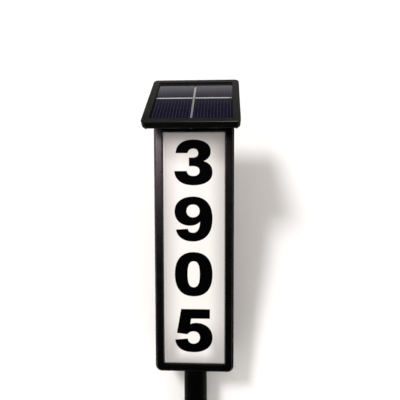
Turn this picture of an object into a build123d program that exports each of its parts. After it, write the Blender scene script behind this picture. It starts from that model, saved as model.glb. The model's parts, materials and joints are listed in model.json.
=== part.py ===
from build123d import *
from math import atan, cos, degrees, radians, sin, tan
import os

# A solar house number sign: a tall light box on a round post with a ground spike, under a tilting
# solar head. Millimetres, +Z up. The front faces -Y and +X is the viewer's right. The origin is on
# the ground line, on the axis of the post.

# ---------------------------------------------------------------- light box, driving dimensions
SIGN_BOTTOM = 240.0  # lower edge of the bezel above the ground line
BEZEL_W = 122.0
BEZEL_H = 396.0
BEZEL_CORNER_R = 8.0
BEZEL_DEPTH = 13.0
BEZEL_WALL = 2.2
BEZEL_PROUD = 4.5  # how far the bezel stands out of the housing
LIP_THICK = 3.0  # the bezel's front face
LIP_BEVEL = 1.5  # its bevel round the window, in the plane of the face
WINDOW_W = 98.0
WINDOW_H = 372.0
BOX_DEPTH = 50.0
HOUSING_STEP = 2.5  # the housing is this much wider than the bezel all round
HOUSING_WALL = 2.3
HOUSING_BACK_BEVEL = 3.0
BOSS_R = 4.75  # the housing's screw tubes
BOSS_WALL = 1.5
BEZEL_POST_R = 3.0
BOSS_X = 55.7
BOSS_ROWS = (-184.0, 0.0, 184.0)
SCREW_WEB = 3.0  # what the screw heads pull against
SEAL_LEDGE = 2.0
RIB_THICK = 1.6
LONG_RIB_SPACING = 50.0
CROSS_RIB_SPACING = 76.0
CROSS_RIBS = 4
RIB_END = 12.0  # the long ribs stop short of the spigot's flange and the backing plate

BEZEL_SCREW_R = 1.45
BEZEL_SCREW_REACH = 12.0  # how deep the screws go into the bezel's posts
BEZEL_SCREW_HEAD_R = 2.8
SCREW_HEAD_THICK = 2.2
SCREW_CLEARANCE = 0.1
THREAD_FIT = 0.05
SCREW_TIP_ROOM = 1.0
CUT_ROOM = 1.0  # how far a cut starts outside the wall that it goes through
SCREW_SIDES = 8  # small screws, their holes and bosses
WELL_SIDES = 12  # the sunk wells at the back
HIDDEN_SIDES = 24  # round pieces hidden inside others

# ---------------------------------------------------------------- diffuser and light tray
DIFFUSER_MARGIN = 3.2  # hidden edge behind the lip
DIFFUSER_THICK = 2.5
DIFFUSER_BORDER = 4.0  # raised border seen inside the window
BORDER_RISE = 0.6
BORDER_DRAFT = 20.0
BORDER_CLEARANCE = 0.3
SEAL_SETBACK = 0.8  # keeps the gasket out of sight behind the lip
BORDER_CORNER_R = 5.0
SEAL_THICK = 1.0
TRAY_WALL = 1.2
TRAY_INSET = 1.4  # from the diffuser's edge to the tray's
TRAY_CLEARANCE = 0.2  # between the tray and the housing's ribs
TRAY_BACK = 10.0  # Y of the tray's inner back face
LED_BOARD_W = 8.0
LED_BOARD_H = 344.0
LED_BOARD_THICK = 1.2
LED_BOARD_X = 24.0
LED_SIZE = (3.5, 2.8)
LED_THICK = 1.5
LED_COUNT = 12
LED_PITCH = 29.0

# ---------------------------------------------------------------- post and spike
POST_R = 19.0
POST_WALL = 1.5
PLUG_CLEARANCE = 0.1
PLUG_WALL = 3.0
SPIGOT_REACH = 48.0  # how far the spigot goes down into the post
SPIGOT_FLANGE = (64.0, 29.0)
SPIGOT_FLANGE_Y = 6.0
SPIGOT_HOLES = ((-25, 0), (25, 0), (-25, 13), (25, 13))
SPIGOT_FLANGE_THICK = 8.0
SPIGOT_FLOOR = 4.0  # the plug's closed top, below the housing
SPIGOT_SCREW_R = 1.7
SPIGOT_SCREW_HEAD_R = 3.4
SPIGOT_SCREW_REACH = 5.5
PLUG_BEVEL = 1.5
COLLAR_R = 25.0
COLLAR_THICK = 4.0
COLLAR_BEVEL = 1.2
SPIKE_PLUG = 45.0
SPIKE_LENGTH = 160.0
SPIKE_HALF_W = 15.0
SPIKE_WAIST = 110.0  # depth where the blades turn in to the point
SPIKE_WAIST_HALF_W = 9.5
BLADE_THICK = 4.0
POST_SCREW_R = 2.5
POST_SCREW_HEAD = (4.6, 3.0)  # radius and thickness
POST_SCREW_STANDOFF = 0.35  # a flat head on the round tube

# ---------------------------------------------------------------- hinge
PIVOT_Y = 2.0
PIVOT_ABOVE_SIGN = 420.0
TILT = 39.0  # the panel's slope from level, as photographed
KNUCKLE_W = 25.0
KNUCKLE_R = 10.0
KNUCKLE_ROOT = (23.0, 1.0)  # where it meets the head's base
EAR_R = 11.0
EAR_THICK = 5.0
WASHER_R = 8.0
WASHER_FIT = 0.2
WASHER_THICK = 0.6
WASHER_GAP = 0.05
BOLT_R = 2.5
BOLT_CLEARANCE = 0.06
BOLT_HEAD_R = 4.75
BOLT_HEAD_THICK = 3.2
SOCKET_R = 1.9
SOCKET_DEPTH = 2.0
NUT_R = 4.6
NUT_THICK = 4.5
BRACKET_BASE = (58.0, 34.0)
BRACKET_BASE_THICK = 3.0
BRACKET_CORNER_R = 4.0
EAR_FOOT = (30.0, 2.0)  # the upright part under each ear
BRACKET_HOLES = ((-24, -5), (24, -5), (-24, 13), (24, 13))
BRACKET_SCREW_R = 1.75
BRACKET_SCREW_HEAD_R = 3.3
BACKING_PLATE = (58.0, 29.0, 3.0)
BACKING_PLATE_Y = 6.0
BOX_GLAND_Y = -4.0
GLAND_R = 4.3
GLAND_GAP = 0.3
GLAND_NECK_R = 2.9
GLAND_REACH = 4.0
GLAND_HOLE_R = 3.0

# ---------------------------------------------------------------- solar head
HEAD_W = 144.0
HEAD_THICK = 12.0
HEAD_CORNER_R = 8.0
HEAD_DRAFT = 4.0
HEAD_FORWARD = 11.6  # the slab's middle is this far down-slope of the pivot
HEAD_ABOVE_PIVOT = 28.6  # from the pivot to the head's top face, square to it
HEAD_WALL = 2.5
RIM_W = 11.0
RIM_THICK = 3.0
PANEL_RECESS = 3.0  # from the rim down to the cells
PANEL_CLEARANCE = 0.3
PANEL_CORNER_R = 2.0
PANEL_THICK = 2.0
CELL_THICK = 0.25
RIBBON_THICK = 0.15
TAPE_THICK = 0.5
LEDGE_W = 5.0
LEDGE_THICK = 2.0
RECESS_WALL = 2.0
CELL_W = 58.0
CELL_L = 114.0
CELL_GAP = 3.0
CELL_BACK_MARGIN = 4.5  # bare strip between the cells and the back rim
CROSS_RIBBON_T = 80.8  # from the head's front edge up the slope
CROSS_RIBBON_W = 2.6
LONG_RIBBON_W = 2.8
LONG_RIBBON = (15.5, 121.5)  # from and to, up the slope from the front edge
BASE_THICK = 2.0
BASE_CLEARANCE = 0.2
HEAD_SCREW_INSET = 6.2
HEAD_SCREW_R = 1.2
HEAD_SCREW_HEAD = (2.3, 1.7)  # radius and thickness
HEAD_SCREW_REACH = 5.0
HEAD_GLAND_Y = -8.4  # up-slope from the slab's middle
EDGE_BEVEL = 0.9
HEAD_LOWER_BEVEL = 1.8
WEB_X = 25.0  # stiffening webs under the base, beside the knuckle
WEB_THICK = 3.0
WEB_HEIGHT = 3.5
WEB_REACH = (-20.4, 19.6)  # from and to, up-slope from the slab's middle
POD_SIZE = (112.0, 36.0)
POD_Y = 43.5  # up-slope from the slab's middle
POD_DEPTH = 22.0
POD_WALL = 2.0
POD_CORNER_R = 6.0
BATTERY_R = 9.1
BATTERY_L = 65.0
BATTERY_CAP = (3.0, 1.2)  # radius and height
BATTERY_X = -14.0
CONTACT = (12.0, 0.5)  # width and thickness
CONTACT_GAP = 0.3
DOOR_SIZE = (80.0, 27.0)
DOOR_CORNER_R = 3.0
DOOR_THICK = 2.0
DOOR_SEAL_THICK = 0.8
DOOR_SCREW_X = 36.5
DOOR_BOSS_HEIGHT = 8.0
DOOR_BEVEL = 0.7
POD_BEVEL = 2.0
HATCH_MARGIN = (1.5, 1.0)  # round the battery in the pod's floor
CRADLE_HALF_SPAN = 22.0
CRADLE_RISE = 10.0
CRADLE_THICK = 2.0
CRADLE_FIT = 0.3
BATTERY_CLEARANCE = 0.4
BOARD_SIZE = (23.0, 29.0)
BOARD_X = 39.0
BOARD_THICK = 1.6
BOARD_STANDOFF = 7.4  # from the pod's floor
CHIPS = ((-5, 7, 5, 4), (5, 5, 4, 7), (0, -8, 9, 6))  # place from the board's middle, and size
CHIP_THICK = 2.0
SWITCH_BODY = (6.0, 3.8)  # width and height
PLUNGER_R = 1.75
BUTTON_R = 5.9
BUTTON_PROUD = 2.0
BUTTON_TRAVEL = 1.5
BUTTON_CLEARANCE = 0.1
BUTTON_RING_W = 2.2
BUTTON_RING_HEIGHT = 0.8
BUTTON_FLANGE = (1.3, 1.2)  # how much wider than the button, and how thick
BUTTON_FLANGE_GAP = 0.2

# ---------------------------------------------------------------- worked out from the above
FRONT_Y = -BOX_DEPTH / 2
BACK_Y = BOX_DEPTH / 2
SIGN_MID = SIGN_BOTTOM + BEZEL_H / 2
HOUSING_W = BEZEL_W + 2 * HOUSING_STEP
HOUSING_H = BEZEL_H + 2 * HOUSING_STEP
HOUSING_CORNER_R = BEZEL_CORNER_R + HOUSING_STEP
HOUSING_FRONT = FRONT_Y + BEZEL_PROUD
HOUSING_BOTTOM = SIGN_BOTTOM - HOUSING_STEP
HOUSING_TOP = SIGN_BOTTOM + BEZEL_H + HOUSING_STEP
BEZEL_BACK = FRONT_Y + BEZEL_DEPTH
LIP_BACK = FRONT_Y + LIP_THICK
SKIRT_INSIDE = (BEZEL_W - 2 * BEZEL_WALL, BEZEL_H - 2 * BEZEL_WALL, BEZEL_CORNER_R - BEZEL_WALL)
DIFFUSER_FRONT = LIP_BACK + SEAL_THICK
DIFFUSER_BACK = DIFFUSER_FRONT + DIFFUSER_THICK
DIFFUSER_W = WINDOW_W + 2 * DIFFUSER_MARGIN
DIFFUSER_H = WINDOW_H + 2 * DIFFUSER_MARGIN
TRAY_W = DIFFUSER_W - 2 * TRAY_INSET
TRAY_H = DIFFUSER_H - 2 * TRAY_INSET
BOSS_POINTS = [(x, y) for x in (-BOSS_X, BOSS_X) for y in BOSS_ROWS]
POST_TOP = HOUSING_BOTTOM
PIVOT_Z = SIGN_BOTTOM + PIVOT_ABOVE_SIGN
PANEL_W = HEAD_W - 2 * RIM_W
PANEL_SHEET_W = PANEL_W - 2 * PANEL_CLEARANCE
POD_FLOOR = HEAD_THICK + POD_DEPTH  # depths in the head count down from its top face

slope = Vector(0, cos(radians(TILT)), sin(radians(TILT)))
normal = Vector(0, -sin(radians(TILT)), cos(radians(TILT)))
pivot = Vector(0, PIVOT_Y, PIVOT_Z)
head_centre = pivot - slope * HEAD_FORWARD + normal * HEAD_ABOVE_PIVOT


def screw_profile(radius):
    """Small screws, their holes and the tubes that hold them are drawn with few sides."""
    RegularPolygon(radius, SCREW_SIDES)


def facing_front(y):
    """A plane square to Y that looks at the viewer, with its middle at the sign's middle."""
    return Plane(origin=(0, y, SIGN_MID), x_dir=(1, 0, 0), z_dir=(0, -1, 0))


def head_plane(depth):
    """A plane parallel to the solar panel, this far below the head's top face. Y is up-slope."""
    return Plane(origin=head_centre - normal * depth, x_dir=(1, 0, 0), z_dir=normal)


def head_section(x):
    """A plane across the head at x, with its origin on the top face: X up-slope, Y outward."""
    return Plane(origin=head_centre + Vector(x, 0, 0), x_dir=slope, z_dir=(1, 0, 0))


def save(part, name):
    part.label = name
    export_step(part, f"parts/{name}.step")


os.makedirs("parts", exist_ok=True)

# ================================================================ light box
# Bezel: a deep moulded frame whose bevelled lip holds the diffuser. Its skirt slides into the
# housing, and eight posts on its back take the screws.
with BuildPart() as front_bezel:
    with BuildSketch(facing_front(BEZEL_BACK)):
        RectangleRounded(BEZEL_W, BEZEL_H, BEZEL_CORNER_R)
    extrude(amount=BEZEL_DEPTH)
    front_edges = front_bezel.faces().sort_by(Axis.Y)[0].outer_wire().edges()
    chamfer(front_edges, length=EDGE_BEVEL)
    with BuildSketch(facing_front(BEZEL_BACK)):
        RectangleRounded(*SKIRT_INSIDE)
    extrude(amount=BEZEL_DEPTH - LIP_THICK, mode=Mode.SUBTRACT)
    with BuildSketch(facing_front(LIP_BACK)):
        Rectangle(WINDOW_W, WINDOW_H)
    extrude(amount=LIP_THICK, taper=-degrees(atan(LIP_BEVEL / LIP_THICK)), mode=Mode.SUBTRACT)
    with BuildSketch(facing_front(0)):
        with Locations(*BOSS_POINTS):
            screw_profile(BEZEL_POST_R)
    extrude(amount=-LIP_BACK)
    with BuildSketch(facing_front(0)):
        with Locations(*BOSS_POINTS):
            screw_profile(BEZEL_SCREW_R + THREAD_FIT)
    extrude(amount=BEZEL_SCREW_REACH + SCREW_TIP_ROOM, mode=Mode.SUBTRACT)
save(front_bezel.part, "front_bezel")

# Rear housing: an open tray with bevelled back edges, screw tubes sunk from the back, a ledge for
# the seal, ribs that carry the light tray, and holes for the post spigot and the lead.
with BuildPart() as rear_housing:
    with BuildSketch(facing_front(BACK_Y)):
        RectangleRounded(HOUSING_W, HOUSING_H, HOUSING_CORNER_R)
    extrude(amount=BACK_Y - HOUSING_FRONT)
    chamfer(rear_housing.faces().sort_by(Axis.Y)[-1].outer_wire().edges(), length=HOUSING_BACK_BEVEL)
    with BuildSketch(facing_front(BACK_Y - HOUSING_WALL)):
        RectangleRounded(
            HOUSING_W - 2 * HOUSING_WALL, HOUSING_H - 2 * HOUSING_WALL, HOUSING_CORNER_R - HOUSING_WALL
        )
    extrude(amount=BACK_Y - HOUSING_WALL - HOUSING_FRONT, mode=Mode.SUBTRACT)
    # ledge behind the seal
    with BuildSketch(facing_front(BEZEL_BACK + SEAL_THICK + SEAL_LEDGE)):
        ledge_w, ledge_h = HOUSING_W - HOUSING_WALL, HOUSING_H - HOUSING_WALL
        RectangleRounded(ledge_w, ledge_h, HOUSING_CORNER_R - HOUSING_WALL / 2)
        RectangleRounded(*SKIRT_INSIDE, mode=Mode.SUBTRACT)
    extrude(amount=SEAL_LEDGE)
    # ribs across and along the back wall
    with BuildSketch(facing_front(BACK_Y - HOUSING_WALL)):
        with GridLocations(LONG_RIB_SPACING, 0, 2, 1):
            Rectangle(RIB_THICK, HOUSING_H - 2 * RIB_END)
        with GridLocations(0, CROSS_RIB_SPACING, 1, CROSS_RIBS):
            Rectangle(HOUSING_W - 2 * HOUSING_WALL, RIB_THICK)
    extrude(amount=BACK_Y - HOUSING_WALL - TRAY_BACK - TRAY_WALL - TRAY_CLEARANCE)
    # screw tubes
    with BuildSketch(facing_front(BACK_Y - HOUSING_WALL)):
        with Locations(*BOSS_POINTS):
            RegularPolygon(BOSS_R, SCREW_SIDES)
    extrude(amount=BACK_Y - HOUSING_WALL)
    with BuildSketch(facing_front(BACK_Y)):
        with Locations(*BOSS_POINTS):
            RegularPolygon(BOSS_R - BOSS_WALL, WELL_SIDES)
    extrude(amount=BACK_Y - SCREW_WEB, mode=Mode.SUBTRACT)
    with BuildSketch(facing_front(SCREW_WEB)):
        with Locations(*BOSS_POINTS):
            screw_profile(BEZEL_SCREW_R + SCREW_CLEARANCE)
    extrude(amount=SCREW_WEB, mode=Mode.SUBTRACT)
    # hole for the spigot, and its four screws
    with BuildSketch(Plane.XY.offset(HOUSING_BOTTOM)):
        Circle(POST_R - POST_WALL + PLUG_CLEARANCE)
        with Locations(*SPIGOT_HOLES):
            screw_profile(SPIGOT_SCREW_R + SCREW_CLEARANCE)
    extrude(amount=HOUSING_WALL + RIB_THICK, mode=Mode.SUBTRACT)
    # holes for the lead's gland and the bracket's screws
    with BuildSketch(Plane.XY.offset(HOUSING_TOP - HOUSING_WALL)):
        with Locations((0, BOX_GLAND_Y)):
            screw_profile(GLAND_HOLE_R)
        with Locations(*BRACKET_HOLES):
            screw_profile(BRACKET_SCREW_R + SCREW_CLEARANCE)
    extrude(amount=HOUSING_WALL, mode=Mode.SUBTRACT)
save(rear_housing.part, "rear_housing")

# Seal between the bezel's skirt and the housing's ledge.
with BuildPart() as housing_seal:
    with BuildSketch(facing_front(BEZEL_BACK + SEAL_THICK)):
        RectangleRounded(BEZEL_W, BEZEL_H, BEZEL_CORNER_R)
        RectangleRounded(*SKIRT_INSIDE, mode=Mode.SUBTRACT)
    extrude(amount=SEAL_THICK)
save(housing_seal.part, "housing_seal")

# Diffuser: an opal sheet with a low raised border that shows as a faint line inside the window.
with BuildPart() as diffuser:
    with BuildSketch(facing_front(DIFFUSER_BACK)):
        Rectangle(DIFFUSER_W, DIFFUSER_H)
    extrude(amount=DIFFUSER_THICK)
    with BuildSketch(facing_front(DIFFUSER_FRONT)):
        Rectangle(WINDOW_W - 2 * BORDER_CLEARANCE, WINDOW_H - 2 * BORDER_CLEARANCE)
        border_inside = (WINDOW_W - 2 * DIFFUSER_BORDER, WINDOW_H - 2 * DIFFUSER_BORDER)
        RectangleRounded(*border_inside, BORDER_CORNER_R, mode=Mode.SUBTRACT)
    extrude(amount=BORDER_RISE, taper=BORDER_DRAFT)
save(diffuser.part, "diffuser")

# Flat gasket between the diffuser's edge and the bezel's lip.
with BuildPart() as diffuser_seal:
    with BuildSketch(facing_front(DIFFUSER_FRONT)):
        Rectangle(DIFFUSER_W, DIFFUSER_H)
        Rectangle(WINDOW_W + 2 * SEAL_SETBACK, WINDOW_H + 2 * SEAL_SETBACK, mode=Mode.SUBTRACT)
    extrude(amount=SEAL_THICK)
save(diffuser_seal.part, "diffuser_seal")

# Light tray: a white open tray that carries the light boards and presses the diffuser forward.
with BuildPart() as light_tray:
    with BuildSketch(facing_front(TRAY_BACK + TRAY_WALL)):
        Rectangle(TRAY_W, TRAY_H)
    extrude(amount=TRAY_BACK + TRAY_WALL - DIFFUSER_BACK)
    with BuildSketch(facing_front(TRAY_BACK)):
        Rectangle(TRAY_W - 2 * TRAY_WALL, TRAY_H - 2 * TRAY_WALL)
    extrude(amount=TRAY_BACK - DIFFUSER_BACK, mode=Mode.SUBTRACT)
save(light_tray.part, "light_tray")

# Two long light boards, and their LEDs.
with BuildPart() as led_boards:
    with BuildSketch(facing_front(TRAY_BACK)):
        with GridLocations(2 * LED_BOARD_X, 0, 2, 1):
            Rectangle(LED_BOARD_W, LED_BOARD_H)
    extrude(amount=LED_BOARD_THICK)
save(led_boards.part, "led_boards")

with BuildPart() as leds:
    with BuildSketch(facing_front(TRAY_BACK - LED_BOARD_THICK)):
        with GridLocations(2 * LED_BOARD_X, LED_PITCH, 2, LED_COUNT):
            Rectangle(*LED_SIZE)
    extrude(amount=LED_THICK)
save(leds.part, "leds")

# Screws from the back, in their sunk tubes.
with BuildPart() as housing_screws:
    with BuildSketch(facing_front(SCREW_WEB)):
        with Locations(*BOSS_POINTS):
            screw_profile(BEZEL_SCREW_R)
    extrude(amount=SCREW_WEB + BEZEL_SCREW_REACH)
    with BuildSketch(facing_front(SCREW_WEB + SCREW_HEAD_THICK)):
        with Locations(*BOSS_POINTS):
            screw_profile(BEZEL_SCREW_HEAD_R)
    extrude(amount=SCREW_HEAD_THICK)
save(housing_screws.part, "housing_screws")

# ================================================================ post
# Spigot: a flange inside the box and a hollow plug that goes down into the post.
plug_r = POST_R - POST_WALL - PLUG_CLEARANCE
housing_floor = HOUSING_BOTTOM + HOUSING_WALL
with BuildPart() as post_spigot:
    with BuildSketch(Plane.XY.offset(POST_TOP - SPIGOT_REACH)):
        RegularPolygon(plug_r, HIDDEN_SIDES)
    extrude(amount=housing_floor - POST_TOP + SPIGOT_REACH)
    chamfer(post_spigot.faces().sort_by(Axis.Z)[0].outer_wire().edges(), length=PLUG_BEVEL)
    with BuildSketch(Plane.XY.offset(housing_floor)):
        with Locations((0, SPIGOT_FLANGE_Y)):
            Rectangle(*SPIGOT_FLANGE)
    extrude(amount=SPIGOT_FLANGE_THICK)
    with BuildSketch(Plane.XY.offset(POST_TOP - SPIGOT_REACH)):
        RegularPolygon(plug_r - PLUG_WALL, HIDDEN_SIDES)
    extrude(amount=SPIGOT_REACH - SPIGOT_FLOOR, mode=Mode.SUBTRACT)
    with BuildSketch(Plane.XY.offset(housing_floor)):
        with Locations(*SPIGOT_HOLES):
            screw_profile(SPIGOT_SCREW_R + SCREW_CLEARANCE)
    extrude(amount=SPIGOT_SCREW_REACH + SCREW_TIP_ROOM, mode=Mode.SUBTRACT)
    with BuildSketch(Plane.XZ.offset(-plug_r - CUT_ROOM)):
        with Locations((0, POST_TOP - SPIGOT_REACH / 2)):
            screw_profile(POST_SCREW_R)
    extrude(amount=PLUG_WALL + 2 * CUT_ROOM, mode=Mode.SUBTRACT)
save(post_spigot.part, "post_spigot")

with BuildPart() as spigot_screws:
    with BuildSketch(Plane.XY.offset(HOUSING_BOTTOM - SCREW_HEAD_THICK)):
        with Locations(*SPIGOT_HOLES):
            screw_profile(SPIGOT_SCREW_HEAD_R)
    extrude(amount=SCREW_HEAD_THICK)
    with BuildSketch(Plane.XY.offset(HOUSING_BOTTOM)):
        with Locations(*SPIGOT_HOLES):
            screw_profile(SPIGOT_SCREW_R)
    extrude(amount=HOUSING_WALL + SPIGOT_SCREW_REACH)
save(spigot_screws.part, "spigot_screws")

# Post: a round tube from the spike's collar to the box, with a screw hole at each end.
spigot_screw_z = POST_TOP - SPIGOT_REACH / 2
spike_screw_z = COLLAR_THICK + SPIKE_PLUG / 2
with BuildPart() as post_tube:
    with BuildSketch(Plane.XY.offset(COLLAR_THICK)):
        Circle(POST_R)
        Circle(POST_R - POST_WALL, mode=Mode.SUBTRACT)
    extrude(amount=POST_TOP - COLLAR_THICK)
    with BuildSketch(Plane.XZ.offset(-POST_R - CUT_ROOM)):
        with Locations((0, spigot_screw_z), (0, spike_screw_z)):
            screw_profile(POST_SCREW_R + SCREW_CLEARANCE)
    extrude(amount=POST_WALL + 2 * CUT_ROOM, mode=Mode.SUBTRACT)
save(post_tube.part, "post_tube")

# Two lock screws at the back of the post.
with BuildPart() as post_screws:
    with BuildSketch(Plane.XZ.offset(-POST_R - POST_SCREW_STANDOFF)):
        with Locations((0, spigot_screw_z), (0, spike_screw_z)):
            screw_profile(POST_SCREW_R - THREAD_FIT)
    extrude(amount=POST_WALL + PLUG_WALL + POST_SCREW_STANDOFF)
    with BuildSketch(Plane.XZ.offset(-POST_R - POST_SCREW_STANDOFF - POST_SCREW_HEAD[1])):
        with Locations((0, spigot_screw_z), (0, spike_screw_z)):
            screw_profile(POST_SCREW_HEAD[0])
    extrude(amount=POST_SCREW_HEAD[1])
save(post_screws.part, "post_screws")

# Ground spike: plug, collar and two crossed tapering blades.
blade_outline = [
    (-SPIKE_HALF_W, 0),
    (SPIKE_HALF_W, 0),
    (SPIKE_WAIST_HALF_W, -SPIKE_WAIST),
    (0, -SPIKE_LENGTH),
    (-SPIKE_WAIST_HALF_W, -SPIKE_WAIST),
]
with BuildPart() as ground_spike:
    with BuildSketch(Plane.XY):
        Circle(COLLAR_R)
    extrude(amount=COLLAR_THICK)
    chamfer(ground_spike.faces().sort_by(Axis.Z)[-1].edges(), length=COLLAR_BEVEL)
    with BuildSketch(Plane.XY.offset(COLLAR_THICK)):
        RegularPolygon(plug_r, HIDDEN_SIDES)
    extrude(amount=SPIKE_PLUG)
    chamfer(ground_spike.faces().sort_by(Axis.Z)[-1].outer_wire().edges(), length=PLUG_BEVEL)
    with BuildSketch(Plane.XY.offset(COLLAR_THICK + SPIKE_PLUG)):
        RegularPolygon(plug_r - PLUG_WALL, HIDDEN_SIDES)
    extrude(amount=-SPIKE_PLUG, mode=Mode.SUBTRACT)
    for blade_plane in (Plane.XZ, Plane.YZ):
        with BuildSketch(blade_plane):
            Polygon(*blade_outline, align=None)
        extrude(amount=BLADE_THICK / 2, both=True)
    with BuildSketch(Plane.XZ.offset(-plug_r - CUT_ROOM)):
        with Locations((0, spike_screw_z)):
            screw_profile(POST_SCREW_R)
    extrude(amount=PLUG_WALL + 2 * CUT_ROOM, mode=Mode.SUBTRACT)
save(ground_spike.part, "ground_spike")

# ================================================================ hinge
# Bracket: a base plate on the box and two round-topped ears that hold the pivot bolt.
ear_inner_x = KNUCKLE_W / 2 + WASHER_THICK + 2 * WASHER_GAP
ear_outer_x = ear_inner_x + EAR_THICK
with BuildPart() as hinge_bracket:
    with BuildSketch(Plane.XY.offset(HOUSING_TOP)):
        with Locations((0, PIVOT_Y)):
            RectangleRounded(*BRACKET_BASE, BRACKET_CORNER_R)
    extrude(amount=BRACKET_BASE_THICK)
    with BuildSketch(Plane.YZ.offset(ear_inner_x)):
        with Locations((PIVOT_Y, PIVOT_Z)):
            Circle(EAR_R)
        with Locations((PIVOT_Y, HOUSING_TOP + BRACKET_BASE_THICK + EAR_FOOT[1] / 2)):
            Rectangle(*EAR_FOOT)
        make_hull()
    extrude(amount=EAR_THICK)
    mirror(about=Plane.YZ)
    with BuildSketch(Plane.YZ.offset(-ear_outer_x)):
        with Locations((PIVOT_Y, PIVOT_Z)):
            Circle(BOLT_R + BOLT_CLEARANCE)
    extrude(amount=2 * ear_outer_x, mode=Mode.SUBTRACT)
    with BuildSketch(Plane.XY.offset(HOUSING_TOP)):
        with Locations(*BRACKET_HOLES):
            screw_profile(BRACKET_SCREW_R + SCREW_CLEARANCE)
        with Locations((0, BOX_GLAND_Y)):
            screw_profile(GLAND_R + GLAND_GAP)
    extrude(amount=BRACKET_BASE_THICK, mode=Mode.SUBTRACT)
save(hinge_bracket.part, "hinge_bracket")

with BuildPart() as bracket_screws:
    with BuildSketch(Plane.XY.offset(HOUSING_TOP + BRACKET_BASE_THICK)):
        with Locations(*BRACKET_HOLES):
            screw_profile(BRACKET_SCREW_HEAD_R)
    extrude(amount=SCREW_HEAD_THICK)
    with BuildSketch(Plane.XY.offset(HOUSING_TOP - HOUSING_WALL - BACKING_PLATE[2])):
        with Locations(*BRACKET_HOLES):
            screw_profile(BRACKET_SCREW_R)
    extrude(amount=HOUSING_WALL + BACKING_PLATE[2] + BRACKET_BASE_THICK)
save(bracket_screws.part, "bracket_screws")

# Steel plate inside the box that the bracket's screws pull against.
with BuildPart() as backing_plate:
    with BuildSketch(Plane.XY.offset(HOUSING_TOP - HOUSING_WALL - BACKING_PLATE[2])):
        with Locations((0, BACKING_PLATE_Y)):
            Rectangle(BACKING_PLATE[0], BACKING_PLATE[1])
        with Locations((0, BOX_GLAND_Y)):
            RegularPolygon(GLAND_R + GLAND_GAP, SCREW_SIDES, mode=Mode.SUBTRACT)
        with Locations(*BRACKET_HOLES):
            RegularPolygon(BRACKET_SCREW_R + SCREW_CLEARANCE, SCREW_SIDES, mode=Mode.SUBTRACT)
    extrude(amount=BACKING_PLATE[2])
save(backing_plate.part, "backing_plate")

# Rubber gland where the lead enters the box.
with BuildPart() as box_lead_gland:
    with BuildSketch(Plane.XY.offset(HOUSING_TOP - HOUSING_WALL)):
        with Locations((0, BOX_GLAND_Y)):
            screw_profile(GLAND_NECK_R)
    extrude(amount=HOUSING_WALL)
    with BuildSketch(Plane.XY.offset(HOUSING_TOP)):
        with Locations((0, BOX_GLAND_Y)):
            screw_profile(GLAND_R)
    extrude(amount=GLAND_REACH)
save(box_lead_gland.part, "box_lead_gland")

# Pivot bolt with a round socket head, its nut, and two friction washers.
with BuildPart() as hinge_bolt:
    with BuildSketch(Plane.YZ.offset(-ear_outer_x)):
        with Locations((PIVOT_Y, PIVOT_Z)):
            Circle(BOLT_R)
    extrude(amount=2 * ear_outer_x)
    with BuildSketch(Plane.YZ.offset(ear_outer_x)):
        with Locations((PIVOT_Y, PIVOT_Z)):
            Circle(BOLT_HEAD_R)
    extrude(amount=BOLT_HEAD_THICK)
    with BuildSketch(Plane.YZ.offset(ear_outer_x + BOLT_HEAD_THICK)):
        with Locations((PIVOT_Y, PIVOT_Z)):
            RegularPolygon(SOCKET_R, 6)
    extrude(amount=-SOCKET_DEPTH, mode=Mode.SUBTRACT)
save(hinge_bolt.part, "hinge_bolt")

with BuildPart() as hinge_nut:
    with BuildSketch(Plane.YZ.offset(-ear_outer_x - NUT_THICK)):
        with Locations((PIVOT_Y, PIVOT_Z)):
            RegularPolygon(NUT_R, 6)
    extrude(amount=NUT_THICK)
save(hinge_nut.part, "hinge_nut")

with BuildPart() as hinge_washers:
    with BuildSketch(Plane.YZ.offset(KNUCKLE_W / 2 + WASHER_GAP)):
        with Locations((PIVOT_Y, PIVOT_Z)):
            RegularPolygon(WASHER_R, HIDDEN_SIDES)
            RegularPolygon(BOLT_R + WASHER_FIT, HIDDEN_SIDES, mode=Mode.SUBTRACT)
    extrude(amount=WASHER_THICK)
    mirror(about=Plane.YZ)
save(hinge_washers.part, "hinge_washers")

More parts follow.
